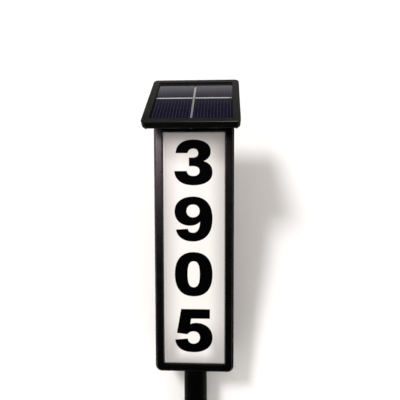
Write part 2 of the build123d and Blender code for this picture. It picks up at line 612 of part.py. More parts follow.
# ================================================================ solar head
# Frame: a drafted slab with a flat rim, a recess whose ledge carries the panel, and a hollow
# underside with eight screw bosses.
cavity_w = HEAD_W - 2 * HEAD_THICK * tan(radians(HEAD_DRAFT)) - 2 * HEAD_WALL
screw_r = HEAD_W / 2 - HEAD_SCREW_INSET
HEAD_SCREWS = [(x, y) for x in (-1, 0, 1) for y in (-1, 0, 1) if (x, y) != (0, 0)]
HEAD_SCREWS = [(x * screw_r, y * screw_r) for x, y in HEAD_SCREWS]
ledge_top = PANEL_RECESS + CELL_THICK + PANEL_THICK + TAPE_THICK
ledge_bottom = ledge_top + LEDGE_THICK
with BuildPart() as head_frame:
    with BuildSketch(head_plane(0)):
        RectangleRounded(HEAD_W, HEAD_W, HEAD_CORNER_R)
    extrude(amount=-HEAD_THICK, taper=HEAD_DRAFT)
    outer_faces = head_frame.faces().sort_by(lambda face: face.center().dot(normal))
    chamfer(outer_faces[0].edges(), length=HEAD_LOWER_BEVEL)
    outer_faces = head_frame.faces().sort_by(lambda face: face.center().dot(normal))
    chamfer(outer_faces[-1].edges(), length=EDGE_BEVEL)
    # hollow underside, up to the ledge, then round the recess up to the rim
    with BuildSketch(head_plane(HEAD_THICK)):
        RectangleRounded(cavity_w, cavity_w, HEAD_CORNER_R - HEAD_WALL)
    extrude(amount=HEAD_THICK - ledge_bottom, mode=Mode.SUBTRACT)
    with BuildSketch(head_plane(ledge_bottom)):
        RectangleRounded(cavity_w, cavity_w, HEAD_CORNER_R - HEAD_WALL)
        Rectangle(PANEL_W + 2 * RECESS_WALL, PANEL_W + 2 * RECESS_WALL, mode=Mode.SUBTRACT)
    extrude(amount=ledge_bottom - RIM_THICK, mode=Mode.SUBTRACT)
    # recess for the panel and the opening inside its ledge
    with BuildSketch(head_plane(ledge_top)):
        RectangleRounded(PANEL_W, PANEL_W, PANEL_CORNER_R)
    extrude(amount=ledge_top, mode=Mode.SUBTRACT)
    with BuildSketch(head_plane(ledge_bottom)):
        Rectangle(PANEL_W - 2 * LEDGE_W, PANEL_W - 2 * LEDGE_W)
    extrude(amount=LEDGE_THICK, mode=Mode.SUBTRACT)
    with BuildSketch(head_plane(HEAD_THICK - BASE_THICK)):
        with Locations(*HEAD_SCREWS):
            screw_profile(HEAD_SCREW_R + BOSS_WALL)
    extrude(amount=HEAD_THICK - BASE_THICK - RIM_THICK)
    with BuildSketch(head_plane(HEAD_THICK - BASE_THICK)):
        with Locations(*HEAD_SCREWS):
            screw_profile(HEAD_SCREW_R + THREAD_FIT)
    extrude(amount=HEAD_SCREW_REACH + SCREW_TIP_ROOM, mode=Mode.SUBTRACT)
save(head_frame.part, "head_frame")

# Panel: backing sheet, two long cells side by side, and the silver ribbons across and between them.
with BuildPart() as panel_tape:
    with BuildSketch(head_plane(ledge_top)):
        Rectangle(PANEL_SHEET_W - PANEL_CORNER_R, PANEL_SHEET_W - PANEL_CORNER_R)
        Rectangle(PANEL_W - 2 * LEDGE_W, PANEL_W - 2 * LEDGE_W, mode=Mode.SUBTRACT)
    extrude(amount=TAPE_THICK)
save(panel_tape.part, "panel_tape")

with BuildPart() as solar_panel:
    with BuildSketch(head_plane(ledge_top - TAPE_THICK)):
        RectangleRounded(PANEL_SHEET_W, PANEL_SHEET_W, PANEL_CORNER_R)
    extrude(amount=PANEL_THICK)
save(solar_panel.part, "solar_panel")

cells_y = PANEL_W / 2 - CELL_BACK_MARGIN - CELL_L / 2
with BuildPart() as solar_cells:
    with BuildSketch(head_plane(PANEL_RECESS + CELL_THICK)):
        with Locations((0, cells_y)):
            with GridLocations(CELL_W + CELL_GAP, 0, 2, 1):
                Rectangle(CELL_W, CELL_L)
    extrude(amount=CELL_THICK)
save(solar_cells.part, "solar_cells")

long_ribbon_l = LONG_RIBBON[1] - LONG_RIBBON[0]
long_ribbon_y = (LONG_RIBBON[0] + LONG_RIBBON[1]) / 2 - HEAD_W / 2
with BuildPart() as cell_ribbons:
    with BuildSketch(head_plane(PANEL_RECESS)):
        with Locations((0, CROSS_RIBBON_T - HEAD_W / 2)):
            Rectangle(2 * CELL_W + CELL_GAP, CROSS_RIBBON_W)
        with Locations((0, long_ribbon_y)):
            Rectangle(LONG_RIBBON_W, long_ribbon_l)
    extrude(amount=RIBBON_THICK)
save(cell_ribbons.part, "cell_ribbons")

# Base: the moulded underside with the battery pod, the hinge knuckle with its flared root, cradle
# ribs for the cell, and a raised ring round the button.
base_w = cavity_w - 2 * BASE_CLEARANCE
CRADLE_X = (BATTERY_X - CRADLE_HALF_SPAN, BATTERY_X + CRADLE_HALF_SPAN)
hatch_size = (BATTERY_L + 2 * HATCH_MARGIN[0], 2 * (BATTERY_R + HATCH_MARGIN[1]))
DOOR_SCREWS = ((BATTERY_X - DOOR_SCREW_X, POD_Y), (BATTERY_X + DOOR_SCREW_X, POD_Y))
battery_depth = POD_FLOOR - POD_WALL - BATTERY_R - BATTERY_CLEARANCE
with BuildPart() as head_base:
    with BuildSketch(head_plane(HEAD_THICK)):
        RectangleRounded(base_w, base_w, HEAD_CORNER_R - HEAD_WALL - BASE_CLEARANCE)
    extrude(amount=BASE_THICK)
    # battery pod
    with BuildSketch(head_plane(POD_FLOOR)):
        with Locations((0, POD_Y)):
            RectangleRounded(*POD_SIZE, POD_CORNER_R)
    extrude(amount=POD_DEPTH)
    pod_faces = head_base.faces().sort_by(lambda face: face.center().dot(normal))
    chamfer(pod_faces[0].edges(), length=POD_BEVEL)
    with BuildSketch(head_plane(POD_FLOOR - POD_WALL)):
        with Locations((0, POD_Y)):
            RectangleRounded(POD_SIZE[0] - 2 * POD_WALL, POD_SIZE[1] - 2 * POD_WALL, POD_CORNER_R - POD_WALL)
    extrude(amount=POD_DEPTH + BASE_THICK, mode=Mode.SUBTRACT)
    # cradle ribs
    for x in CRADLE_X:
        with BuildSketch(head_section(x - CRADLE_THICK / 2)):
            with Locations((POD_Y, -POD_FLOOR + POD_WALL + CRADLE_RISE / 2)):
                Rectangle(POD_SIZE[1] - 2 * POD_WALL, CRADLE_RISE)
            with Locations((POD_Y, -battery_depth)):
                RegularPolygon(BATTERY_R + CRADLE_FIT, HIDDEN_SIDES, mode=Mode.SUBTRACT)
        extrude(amount=CRADLE_THICK)
    # bosses for the door's screws
    with BuildSketch(head_plane(POD_FLOOR - POD_WALL)):
        with Locations(*DOOR_SCREWS):
            screw_profile(HEAD_SCREW_R + BOSS_WALL)
    extrude(amount=DOOR_BOSS_HEIGHT)
    # knuckle, between two low webs that run down-slope from it
    with BuildSketch(head_section(-KNUCKLE_W / 2)):
        with Locations((HEAD_FORWARD, -HEAD_ABOVE_PIVOT)):
            Circle(KNUCKLE_R)
        with Locations((HEAD_FORWARD, -HEAD_THICK - KNUCKLE_ROOT[1] / 2)):
            Rectangle(*KNUCKLE_ROOT)
        make_hull()
    extrude(amount=KNUCKLE_W)
    for x in (-WEB_X, WEB_X):
        with BuildSketch(head_section(x - WEB_THICK / 2)):
            Polygon(
                (WEB_REACH[0], -HEAD_THICK),
                (WEB_REACH[1], -HEAD_THICK),
                (WEB_REACH[1] - WEB_HEIGHT, -HEAD_THICK - WEB_HEIGHT),
                (WEB_REACH[0] + 2 * WEB_HEIGHT, -HEAD_THICK - WEB_HEIGHT),
                align=None,
            )
        extrude(amount=WEB_THICK)
    with BuildSketch(head_section(-KNUCKLE_W / 2)):
        with Locations((HEAD_FORWARD, -HEAD_ABOVE_PIVOT)):
            Circle(BOLT_R + BOLT_CLEARANCE)
    extrude(amount=KNUCKLE_W, mode=Mode.SUBTRACT)
    # raised ring round the button, and the holes through the floor
    with BuildSketch(head_plane(POD_FLOOR + BUTTON_RING_HEIGHT)):
        with Locations((BOARD_X, POD_Y)):
            Circle(BUTTON_R + BUTTON_RING_W)
    extrude(amount=BUTTON_RING_HEIGHT)
    with BuildSketch(head_plane(POD_FLOOR + BUTTON_RING_HEIGHT)):
        with Locations((BOARD_X, POD_Y)):
            Circle(BUTTON_R + BUTTON_CLEARANCE)
    extrude(amount=POD_WALL + BUTTON_RING_HEIGHT, mode=Mode.SUBTRACT)
    with BuildSketch(head_plane(POD_FLOOR)):
        with Locations((BATTERY_X, POD_Y)):
            Rectangle(*hatch_size)
    extrude(amount=POD_WALL, mode=Mode.SUBTRACT)
    with BuildSketch(head_plane(POD_FLOOR)):
        with Locations(*DOOR_SCREWS):
            screw_profile(HEAD_SCREW_R + THREAD_FIT)
    extrude(amount=POD_WALL + DOOR_BOSS_HEIGHT, mode=Mode.SUBTRACT)
    # holes for the head's screws and for the lead gland
    with BuildSketch(head_plane(HEAD_THICK)):
        with Locations(*HEAD_SCREWS):
            screw_profile(HEAD_SCREW_R + SCREW_CLEARANCE)
        with Locations((0, HEAD_GLAND_Y)):
            screw_profile(GLAND_HOLE_R)
    extrude(amount=BASE_THICK, mode=Mode.SUBTRACT)
save(head_base.part, "head_base")

with BuildPart() as head_screws:
    with BuildSketch(head_plane(HEAD_THICK + HEAD_SCREW_HEAD[1])):
        with Locations(*HEAD_SCREWS):
            screw_profile(HEAD_SCREW_HEAD[0])
    extrude(amount=HEAD_SCREW_HEAD[1])
    with BuildSketch(head_plane(HEAD_THICK)):
        with Locations(*HEAD_SCREWS):
            screw_profile(HEAD_SCREW_R)
    extrude(amount=BASE_THICK + HEAD_SCREW_REACH)
save(head_screws.part, "head_screws")

with BuildPart() as head_lead_gland:
    with BuildSketch(head_plane(HEAD_THICK)):
        with Locations((0, HEAD_GLAND_Y)):
            screw_profile(GLAND_NECK_R)
    extrude(amount=BASE_THICK)
    with BuildSketch(head_plane(HEAD_THICK)):
        with Locations((0, HEAD_GLAND_Y)):
            screw_profile(GLAND_R)
    extrude(amount=-GLAND_REACH)
save(head_lead_gland.part, "head_lead_gland")

# ================================================================ inside the pod
with BuildPart() as battery_cell:
    with BuildSketch(head_section(BATTERY_X - BATTERY_L / 2)):
        with Locations((POD_Y, -battery_depth)):
            RegularPolygon(BATTERY_R, HIDDEN_SIDES)
    extrude(amount=BATTERY_L - BATTERY_CAP[1])
    with BuildSketch(head_section(BATTERY_X + BATTERY_L / 2 - BATTERY_CAP[1])):
        with Locations((POD_Y, -battery_depth)):
            screw_profile(BATTERY_CAP[0])
    extrude(amount=BATTERY_CAP[1])
save(battery_cell.part, "battery_cell")

with BuildPart() as battery_contacts:
    contact_offset = BATTERY_L / 2 + CONTACT_GAP + CONTACT[1] / 2
    for x in (BATTERY_X - contact_offset, BATTERY_X + contact_offset):
        with BuildSketch(head_section(x - CONTACT[1] / 2)):
            with Locations((POD_Y, -battery_depth)):
                Rectangle(CONTACT[0], CONTACT[0])
        extrude(amount=CONTACT[1])
save(battery_contacts.part, "battery_contacts")

board_depth = POD_FLOOR - POD_WALL - BOARD_STANDOFF
button_flange_top = POD_FLOOR - POD_WALL - BUTTON_FLANGE_GAP - BUTTON_FLANGE[1]
plunger_top = button_flange_top - BUTTON_TRAVEL - BUTTON_CLEARANCE
with BuildPart() as control_board:
    with BuildSketch(head_plane(board_depth)):
        with Locations((BOARD_X, POD_Y)):
            Rectangle(*BOARD_SIZE)
    extrude(amount=BOARD_THICK)
    # two chips and a coil on the side away from the button
    with BuildSketch(head_plane(board_depth - BOARD_THICK)):
        for x, y, width, length in CHIPS:
            with Locations((BOARD_X + x, POD_Y + y)):
                Rectangle(width, length)
    extrude(amount=CHIP_THICK)
save(control_board.part, "control_board")

with BuildPart() as tact_switch:
    with BuildSketch(head_plane(board_depth + SWITCH_BODY[1])):
        with Locations((BOARD_X, POD_Y)):
            Rectangle(SWITCH_BODY[0], SWITCH_BODY[0])
    extrude(amount=SWITCH_BODY[1])
    with BuildSketch(head_plane(plunger_top)):
        with Locations((BOARD_X, POD_Y)):
            screw_profile(PLUNGER_R)
    extrude(amount=plunger_top - board_depth - SWITCH_BODY[1])
save(tact_switch.part, "tact_switch")

with BuildPart() as power_button:
    with BuildSketch(head_plane(POD_FLOOR + BUTTON_PROUD)):
        with Locations((BOARD_X, POD_Y)):
            Circle(BUTTON_R)
    extrude(amount=BUTTON_PROUD + POD_WALL + BUTTON_FLANGE_GAP)
    with BuildSketch(head_plane(button_flange_top + BUTTON_FLANGE[1])):
        with Locations((BOARD_X, POD_Y)):
            RegularPolygon(BUTTON_R + BUTTON_FLANGE[0], HIDDEN_SIDES)
    extrude(amount=BUTTON_FLANGE[1])
save(power_button.part, "power_button")

# Battery door on the pod's floor, with its seal and two screws.
with BuildPart() as door_seal:
    with BuildSketch(head_plane(POD_FLOOR + DOOR_SEAL_THICK)):
        with Locations((BATTERY_X, POD_Y)):
            Rectangle(DOOR_SIZE[0] - 2, DOOR_SIZE[1] - 2)
            Rectangle(*hatch_size, mode=Mode.SUBTRACT)
        with Locations(*DOOR_SCREWS):
            RegularPolygon(HEAD_SCREW_R + SCREW_CLEARANCE, SCREW_SIDES, mode=Mode.SUBTRACT)
    extrude(amount=DOOR_SEAL_THICK)
save(door_seal.part, "door_seal")

door_top = POD_FLOOR + DOOR_SEAL_THICK
with BuildPart() as battery_door:
    with BuildSketch(head_plane(door_top + DOOR_THICK)):
        with Locations((BATTERY_X, POD_Y)):
            RectangleRounded(*DOOR_SIZE, DOOR_CORNER_R)
    extrude(amount=DOOR_THICK)
    door_faces = battery_door.faces().sort_by(lambda face: face.center().dot(normal))
    chamfer(door_faces[0].edges(), length=DOOR_BEVEL)
    with BuildSketch(head_plane(door_top + DOOR_THICK)):
        with Locations(*DOOR_SCREWS):
            screw_profile(HEAD_SCREW_R + SCREW_CLEARANCE)
    extrude(amount=DOOR_THICK, mode=Mode.SUBTRACT)
save(battery_door.part, "battery_door")

with BuildPart() as door_screws:
    with BuildSketch(head_plane(door_top + DOOR_THICK + HEAD_SCREW_HEAD[1])):
        with Locations(*DOOR_SCREWS):
            screw_profile(HEAD_SCREW_HEAD[0])
    extrude(amount=HEAD_SCREW_HEAD[1])
    with BuildSketch(head_plane(door_top + DOOR_THICK)):
        with Locations(*DOOR_SCREWS):
            screw_profile(HEAD_SCREW_R)
    extrude(amount=DOOR_THICK + DOOR_SEAL_THICK + DOOR_BOSS_HEIGHT - SCREW_TIP_ROOM)
save(door_screws.part, "door_screws")
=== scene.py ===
# %% [markdown]
# # A solar house number sign
#
# The sign is a tall back-lit box on a round post, under a square solar head that tilts on a hinge. Its
# plastic and metal pieces come finished from the CAD model. This lesson gives them their surfaces, adds the
# fine pieces that a CAD model leaves out, and photographs the sign in a small white studio.

# %% Load the CAD pieces
import json
from math import cos, degrees, pi, radians, sin

import bmesh
import bpy
from mathutils import Matrix, Vector

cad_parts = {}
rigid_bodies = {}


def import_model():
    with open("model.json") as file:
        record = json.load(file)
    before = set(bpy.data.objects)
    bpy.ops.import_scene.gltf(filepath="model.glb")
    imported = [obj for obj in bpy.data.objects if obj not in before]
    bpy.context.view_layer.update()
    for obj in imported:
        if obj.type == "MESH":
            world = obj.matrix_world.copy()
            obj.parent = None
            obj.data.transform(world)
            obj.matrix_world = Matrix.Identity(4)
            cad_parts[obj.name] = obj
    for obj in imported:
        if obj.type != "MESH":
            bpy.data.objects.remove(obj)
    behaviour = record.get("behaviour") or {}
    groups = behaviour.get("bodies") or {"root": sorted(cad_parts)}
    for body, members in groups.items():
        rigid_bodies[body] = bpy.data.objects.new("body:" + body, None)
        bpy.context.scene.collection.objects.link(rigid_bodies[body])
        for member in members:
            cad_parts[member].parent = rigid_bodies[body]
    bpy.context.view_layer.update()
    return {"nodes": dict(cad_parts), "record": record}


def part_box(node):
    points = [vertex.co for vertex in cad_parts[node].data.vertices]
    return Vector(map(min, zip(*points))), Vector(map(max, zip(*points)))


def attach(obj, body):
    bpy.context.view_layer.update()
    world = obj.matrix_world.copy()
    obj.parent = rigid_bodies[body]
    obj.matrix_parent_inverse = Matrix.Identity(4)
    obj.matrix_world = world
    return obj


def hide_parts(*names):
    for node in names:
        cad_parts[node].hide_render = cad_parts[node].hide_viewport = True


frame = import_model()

nodes = frame["nodes"]
print("CAD nodes:", len(nodes))

# %% [markdown]
# ## The camera
#
# A photograph fixes its camera: parallel edges of the object meet at vanishing points, and the known sizes
# of the box and the head give the distance. A camera could be placed by eye, but on an object with so many
# straight edges a small error shows at once. Here it stands 0.6 m in front of the face, a little to the
# right and above the middle, and looks almost straight ahead. The picture was cropped, so its centre isn't
# the lens's centre, and a small shift of the lens makes up for that.

# %% Camera at the photograph's place
PHOTO_PX = 400
FOCAL_PX = 369.0
LENS_CENTRE_PX = (210.6, 210.2)  # across and down
SENSOR_MM = 36.0
CAMERA_PLACE = Vector((0.0510, -0.6058, 0.5353))
CAMERA_YAW, CAMERA_PITCH, CAMERA_ROLL = radians(2.41), radians(-3.32), radians(0.02)
LEVEL = Matrix.Rotation(pi / 2, 4, "X")  # an unturned camera looks straight down

camera = bpy.data.objects.new("camera", bpy.data.cameras.new("camera"))
bpy.context.scene.collection.objects.link(camera)
bpy.context.scene.camera = camera
camera.data.sensor_width = SENSOR_MM
camera.data.lens = SENSOR_MM * FOCAL_PX / PHOTO_PX
camera.data.shift_x = (PHOTO_PX / 2 - LENS_CENTRE_PX[0]) / PHOTO_PX
camera.data.shift_y = (LENS_CENTRE_PX[1] - PHOTO_PX / 2) / PHOTO_PX
camera.data.clip_start = 0.01
camera_turn = Matrix.Rotation(CAMERA_YAW, 4, "Z") @ Matrix.Rotation(CAMERA_PITCH, 4, "X")
camera_turn = camera_turn @ Matrix.Rotation(CAMERA_ROLL, 4, "Y") @ LEVEL
camera.matrix_world = Matrix.Translation(CAMERA_PLACE) @ camera_turn
print("lens", round(camera.data.lens, 2), "mm")

# %% [markdown]
# ## Two frames of reference
#
# Pieces on the box are placed in the sign's own frame, where the face looks along -Y. The solar head is
# tilted, and each place on it could be worked out with a sine and a cosine. It is easier to draw its pieces
# flat, with X across, Y up the slope and Z out of the panel, and to carry them onto the head by one matrix.

# %% Where the head is
MM = 0.001
TILT = radians(39.0)
HEAD_FORWARD, HEAD_ABOVE_PIVOT = 11.6 * MM, 28.6 * MM
PIVOT = Vector((0.0, 0.002, 0.66))
slope = Vector((0.0, cos(TILT), sin(TILT)))
normal = Vector((0.0, -sin(TILT), cos(TILT)))
head_centre = PIVOT - slope * HEAD_FORWARD + normal * HEAD_ABOVE_PIVOT
head_matrix = Matrix((
    (1.0, slope.x, normal.x, head_centre.x),
    (0.0, slope.y, normal.y, head_centre.y),
    (0.0, slope.z, normal.z, head_centre.z),
    (0.0, 0.0, 0.0, 1.0),
))
print("the head's centre:", [round(place, 4) for place in head_centre])

# %% [markdown]
# ## Helpers for nodes
#
# Materials, the room's light and the repeated pieces are all made of nodes. They could be wired by hand in
# Blender's node editors. In a script the same few nodes come back again and again, so each gets a short
# function, which takes the tree that it works in. Its inputs may be constants or other nodes' outputs.

# %% Helpers for any tree


def connect(tree, value, socket):
    """Feeds a socket with a constant, or with another node's output."""
    if isinstance(value, bpy.types.NodeSocket):
        tree.links.new(value, socket)
    else:
        socket.default_value = value


def add_node(tree, kind, **values):
    """A node with some of its sockets fed: underscores stand for the spaces in a socket's name."""
    node = tree.nodes.new(kind)
    for label, value in values.items():
        connect(tree, value, node.inputs[label.replace("_", " ")])
    return node


def maths(tree, operation, first, second=0.0):
    node = tree.nodes.new("ShaderNodeMath")
    node.operation = operation
    connect(tree, first, node.inputs[0])
    connect(tree, second, node.inputs[1])
    return node.outputs["Value"]


def map_range(tree, value, source, target, smooth=False):
    """Stretches the span source over the span target, and holds the ends beyond it."""
    node = tree.nodes.new("ShaderNodeMapRange")
    node.interpolation_type = "SMOOTHSTEP" if smooth else "LINEAR"
    for label, limit in zip(("From Min", "From Max", "To Min", "To Max"), (*source, *target)):
        node.inputs[label].default_value = limit
    connect(tree, value, node.inputs["Value"])
    return node.outputs["Result"]


def choose(tree, switch, plain, chosen, kind="FLOAT"):
    """plain where the switch is 0, chosen where it is 1."""
    node = tree.nodes.new("ShaderNodeMix")
    node.data_type = kind
    for label, value in (("Factor", switch), ("A", plain), ("B", chosen)):
        connect(tree, value, node.inputs[label])
    return node.outputs["Result"]


def split(tree, vector):
    """The X, Y and Z of a vector, by name."""
    return add_node(tree, "ShaderNodeSeparateXYZ", Vector=vector).outputs


print("node helpers: add_node, maths, map_range, choose, split")

# %% [markdown]
# ## A helper for materials
#
# A real surface is never one flat colour: its tone, its gloss and its relief all vary a little. They could
# be painted as pictures, but those need an unwrapped mesh and a size in pixels. Here every finish is a
# Principled shader driven by noise that reads Object coordinates, so that it keeps its real size on every
# piece and moves with the piece.

# %% Finish, a material with shortcuts


class Finish:
    """One material, with shortcuts for the nodes that the recipes share."""

    def __init__(self, name):
        self.material = bpy.data.materials.new(name)
        self.material.use_nodes = True
        self.tree = self.material.node_tree
        self.shader = self.tree.nodes["Principled BSDF"]
        self.coordinates = self.tree.nodes.new("ShaderNodeTexCoord").outputs["Object"]

    def set(self, **sockets):
        """Feeds the shader's own sockets: underscores stand for the spaces in a socket's name."""
        for label, value in sockets.items():
            connect(self.tree, value, self.shader.inputs[label.replace("_", " ")])

    def noise(self, scale, detail=3.0, roughness=0.5, stretch=(1.0, 1.0, 1.0)):
        mapping = add_node(self.tree, "ShaderNodeMapping", Vector=self.coordinates, Scale=stretch)
        texture = add_node(self.tree, "ShaderNodeTexNoise", Vector=mapping.outputs["Vector"],
                           Scale=scale, Detail=detail, Roughness=roughness)
        return texture.outputs["Fac"]

    def ramp(self, factor, *stops):
        """A colour ramp: stops are (place, colour)."""
        node = add_node(self.tree, "ShaderNodeValToRGB", Fac=factor)
        elements = node.color_ramp.elements
        while len(elements) < len(stops):
            elements.new(0.5)
        for element, (place, colour) in zip(elements, stops):
            element.position = place
            element.color = (*colour, 1.0)
        return node.outputs["Color"]

    def tones(self, factor, dark, light):
        """Two tones of a noise, which keeps near its middle, so the ramp between them is short."""
        return self.ramp(factor, (0.3, dark), (0.7, light))

    def spread(self, factor, low, high):
        """Stretches a 0 to 1 factor over low to high."""
        return map_range(self.tree, factor, (0.0, 1.0), (low, high))

    def bump(self, relief, strength, distance):
        node = add_node(self.tree, "ShaderNodeBump", Height=relief, Strength=strength, Distance=distance)
        self.set(Normal=node.outputs["Normal"])


def scaled(colour, share):
    return tuple(channel * share for channel in colour)


print("finish helper: noise, ramp, tones, spread, bump")

# %% [markdown]
# ## Moulded plastic, coated metal and rubber
#
# Nearly every outside piece is black, and black pieces are told apart by their sheen alone. The housing and
# the head are moulded with a fine spark-eroded grain, the bezel is smoother and catches the light along its
# upper left, the post and the hinge are powder-coated, and the seals and the button are dull rubber. The
# grain could be displaced in the mesh, at the cost of millions of faces for a few hundredths of a
# millimetre. Bump does it in the shader. One recipe serves them all, with the grain's size and depth, the
# roughness and the colour as its inputs.

# %% Grained finishes
PATCHES_PER_METRE = 45.0
GRAIN_STRENGTH = 0.35
WEAR = 0.15  # how far the roughness strays, as a share of it


def grained(name, colour, roughness, grain, depth, specular=0.5, mottle=0.25):
    """A grained surface: grain is in grains per metre, depth in metres, mottle the colour's unevenness."""
    finish = Finish(name)
    fine = finish.noise(grain, detail=2.0)
    patches = finish.noise(PATCHES_PER_METRE, detail=4.0)
    finish.set(
        Base_Color=finish.tones(patches, scaled(colour, 1 - mottle), scaled(colour, 1 + mottle)),
        Roughness=finish.spread(patches, roughness * (1 - WEAR), roughness * (1 + WEAR)),
        Specular_IOR_Level=specular,
    )
    finish.bump(fine, GRAIN_STRENGTH, depth)
    return finish.material


GRAINED = (
    # name, colour, roughness, grain, depth, specular, mottle
    ("bezel_plastic", (0.0006, 0.0005, 0.0006), 0.275, 1400, 0.00001, 0.35),
    ("housing_plastic", (0.005, 0.005, 0.0052), 0.5, 900, 0.00006, 0.3),
    ("head_plastic", (0.0025, 0.0027, 0.0023), 0.4, 1000, 0.00005, 0.08),
    ("post_coating", (0.0006, 0.0006, 0.0006), 0.5, 1500, 0.00003, 0.03),
    ("hinge_coating", (0.008, 0.008, 0.008), 0.4, 1300, 0.00004, 0.5),
    ("spike_plastic", (0.007, 0.007, 0.007), 0.6, 700, 0.00008, 0.35),
    ("seal_rubber", (0.012, 0.012, 0.012), 0.8, 1800, 0.00003, 0.3),
    ("button_rubber", (0.03, 0.03, 0.031), 0.7, 1800, 0.00003, 0.35),
    ("switch_plastic", (0.02, 0.02, 0.021), 0.5, 1500, 0.00002, 0.5),
    ("white_tray", (0.85, 0.85, 0.83), 0.5, 1200, 0.00002, 0.5, 0.02),
    ("white_board", (0.75, 0.75, 0.72), 0.4, 1500, 0.00001, 0.5, 0.03),
    ("green_board", (0.012, 0.09, 0.03), 0.35, 600, 0.00002, 0.5, 0.2),
    ("battery_wrap", (0.02, 0.07, 0.25), 0.25, 300, 0.00003, 0.5, 0.1),
)
finishes = {row[0]: grained(*row) for row in GRAINED}
print("grained finishes:", len(finishes))

# %% [markdown]
# ## Steel, and the tinned ribbons
#
# The screws are black oxide steel, the backing plate and the washers bright zinc, and the ribbons on the
# cells are copper dipped in tin, which leaves a soft, streaky silver. Brushed metal could be made with an
# anisotropic shader, which suits lathe marks. Here noise stretched along one axis does more: in the
# roughness it reads as brushing, and in the colour as an uneven coat. The ribbon that crosses the cells is
# less metallic than the ribbon between them, so that it shows lighter: a painted highlight for the light
# that the raised ribbon catches where it crosses.

# %% Metal finishes
STREAKS_PER_METRE = 220.0
STREAK_STRENGTH, STREAK_DEPTH = 0.15, 0.00002
METAL_WEAR = 0.3


def metal(name, colour, roughness, stretch, streaks=0.12):
    """A streaky metal: the larger an axis is in stretch, the narrower its streaks are that way."""
    finish = Finish(name)
    grain = finish.noise(STREAKS_PER_METRE, stretch=stretch)
    finish.set(
        Base_Color=finish.tones(grain, scaled(colour, 1 - streaks), scaled(colour, 1 + streaks)),
        Roughness=finish.spread(grain, roughness * (1 - METAL_WEAR), roughness * (1 + METAL_WEAR)),
        Metallic=1.0,
    )
    finish.bump(grain, STREAK_STRENGTH, STREAK_DEPTH)
    return finish


# the cross ribbon, away from the middle line, is made less metallic: a painted highlight that shows it
# lighter
BRIGHT_TO, PAINTED_SHEEN_FROM = 0.0015, 0.003  # metres from the head's middle line
PAINTED_SHEEN_METALLIC = 0.45

ribbon = metal("tinned_ribbon", (0.8, 0.79, 0.78), roughness=0.33, stretch=(2.0, 9.0, 9.0), streaks=0.15)
from_middle = maths(ribbon.tree, "ABSOLUTE", split(ribbon.tree, ribbon.coordinates)["X"])
ribbon.set(Metallic=map_range(ribbon.tree, from_middle, (BRIGHT_TO, PAINTED_SHEEN_FROM), (1.0, PAINTED_SHEEN_METALLIC)))
black_oxide = metal("screw_steel", (0.05, 0.05, 0.052), roughness=0.35, stretch=(1.0, 1.0, 1.0))
zinc = metal("plain_steel", (0.6, 0.6, 0.58), roughness=0.3, stretch=(8.0, 1.0, 1.0))
finishes.update(screw_steel=black_oxide.material, plain_steel=zinc.material, tinned_ribbon=ribbon.material)
print("finishes with the metals:", len(finishes))

# %% [markdown]
# ## The lit diffuser
#
# The diffuser is an opal sheet with two columns of LEDs behind it. Opal plastic spreads their light, but not
# completely: the middle is brightest, and the light falls off at the sides and the foot, and most of all in
# the lower corners. The glow also fades towards the top, which is painted shade: it deepens the shadow that
# the head throws on the sheet. A lit sheet could be made of real scattering, which renders slowly and
# noisily. Here the sheet glows by itself, weaker than the studio light. Its strength is a product of smooth
# ramps, which follow the sheet's own height and width.

# %% Opal diffuser
DIFFUSER_LOW, DIFFUSER_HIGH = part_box("diffuser")
DIFFUSER_MIDDLE = (DIFFUSER_LOW + DIFFUSER_HIGH) / 2
DIFFUSER_SIZE = DIFFUSER_HIGH - DIFFUSER_LOW
GLOW = 0.44

opal = Finish("opal_diffuser")
centred = add_node(
    opal.tree, "ShaderNodeMapping", Vector=opal.coordinates,
    Location=(-2 * DIFFUSER_MIDDLE.x / DIFFUSER_SIZE.x, 0.0, -2 * DIFFUSER_MIDDLE.z / DIFFUSER_SIZE.z),
    Scale=(2 / DIFFUSER_SIZE.x, 0.0, 2 / DIFFUSER_SIZE.z),
)
on_sheet = split(opal.tree, centred.outputs["Vector"])
upwards = on_sheet["Z"]  # -1 at the foot, 1 at the top
aside = maths(opal.tree, "ABSOLUTE", on_sheet["X"])  # 1 at either side


def falloff(place, start, end, floor=0.0):
    """1 up to start, and from there down to floor at end."""
    return map_range(opal.tree, place, (start, end), (1.0, floor), smooth=True)


sides = falloff(aside, 0.35, 1.0, 0.25)
# the top ramp is painted shade: it dims the glow where the head's shadow falls on the sheet
top_painted_shade = falloff(upwards, 0.78, 1.0)
foot = falloff(upwards, -0.86, -1.0)
# dark only where both ramps are: low down and far to a side
lower_corners = maths(opal.tree, "MAXIMUM", falloff(aside, 0.3, 0.8), falloff(upwards, -0.55, -0.95))
glow = maths(opal.tree, "MULTIPLY", top_painted_shade, foot)
for share in (sides, lower_corners, GLOW):
    glow = maths(opal.tree, "MULTIPLY", glow, share)
opal.set(Base_Color=(0.48, 0.465, 0.45, 1.0), Roughness=0.32)
opal.set(Emission_Color=(1.0, 0.975, 0.915, 1.0), Emission_Strength=glow)
opal.bump(opal.noise(scale=900.0), strength=0.1, distance=0.00002)
finishes["opal_diffuser"] = opal.material

led = Finish("warm_led")
led.set(Base_Color=(0.9, 0.75, 0.3, 1.0), Roughness=0.4)
led.set(Emission_Color=(1.0, 0.93, 0.8, 1.0), Emission_Strength=2.0)
led.bump(led.noise(scale=2000.0), strength=0.2, distance=0.00002)
finishes["warm_led"] = led.material
print("diffuser", round(DIFFUSER_SIZE.x / MM, 1), "x", round(DIFFUSER_SIZE.z / MM, 1), "mm")

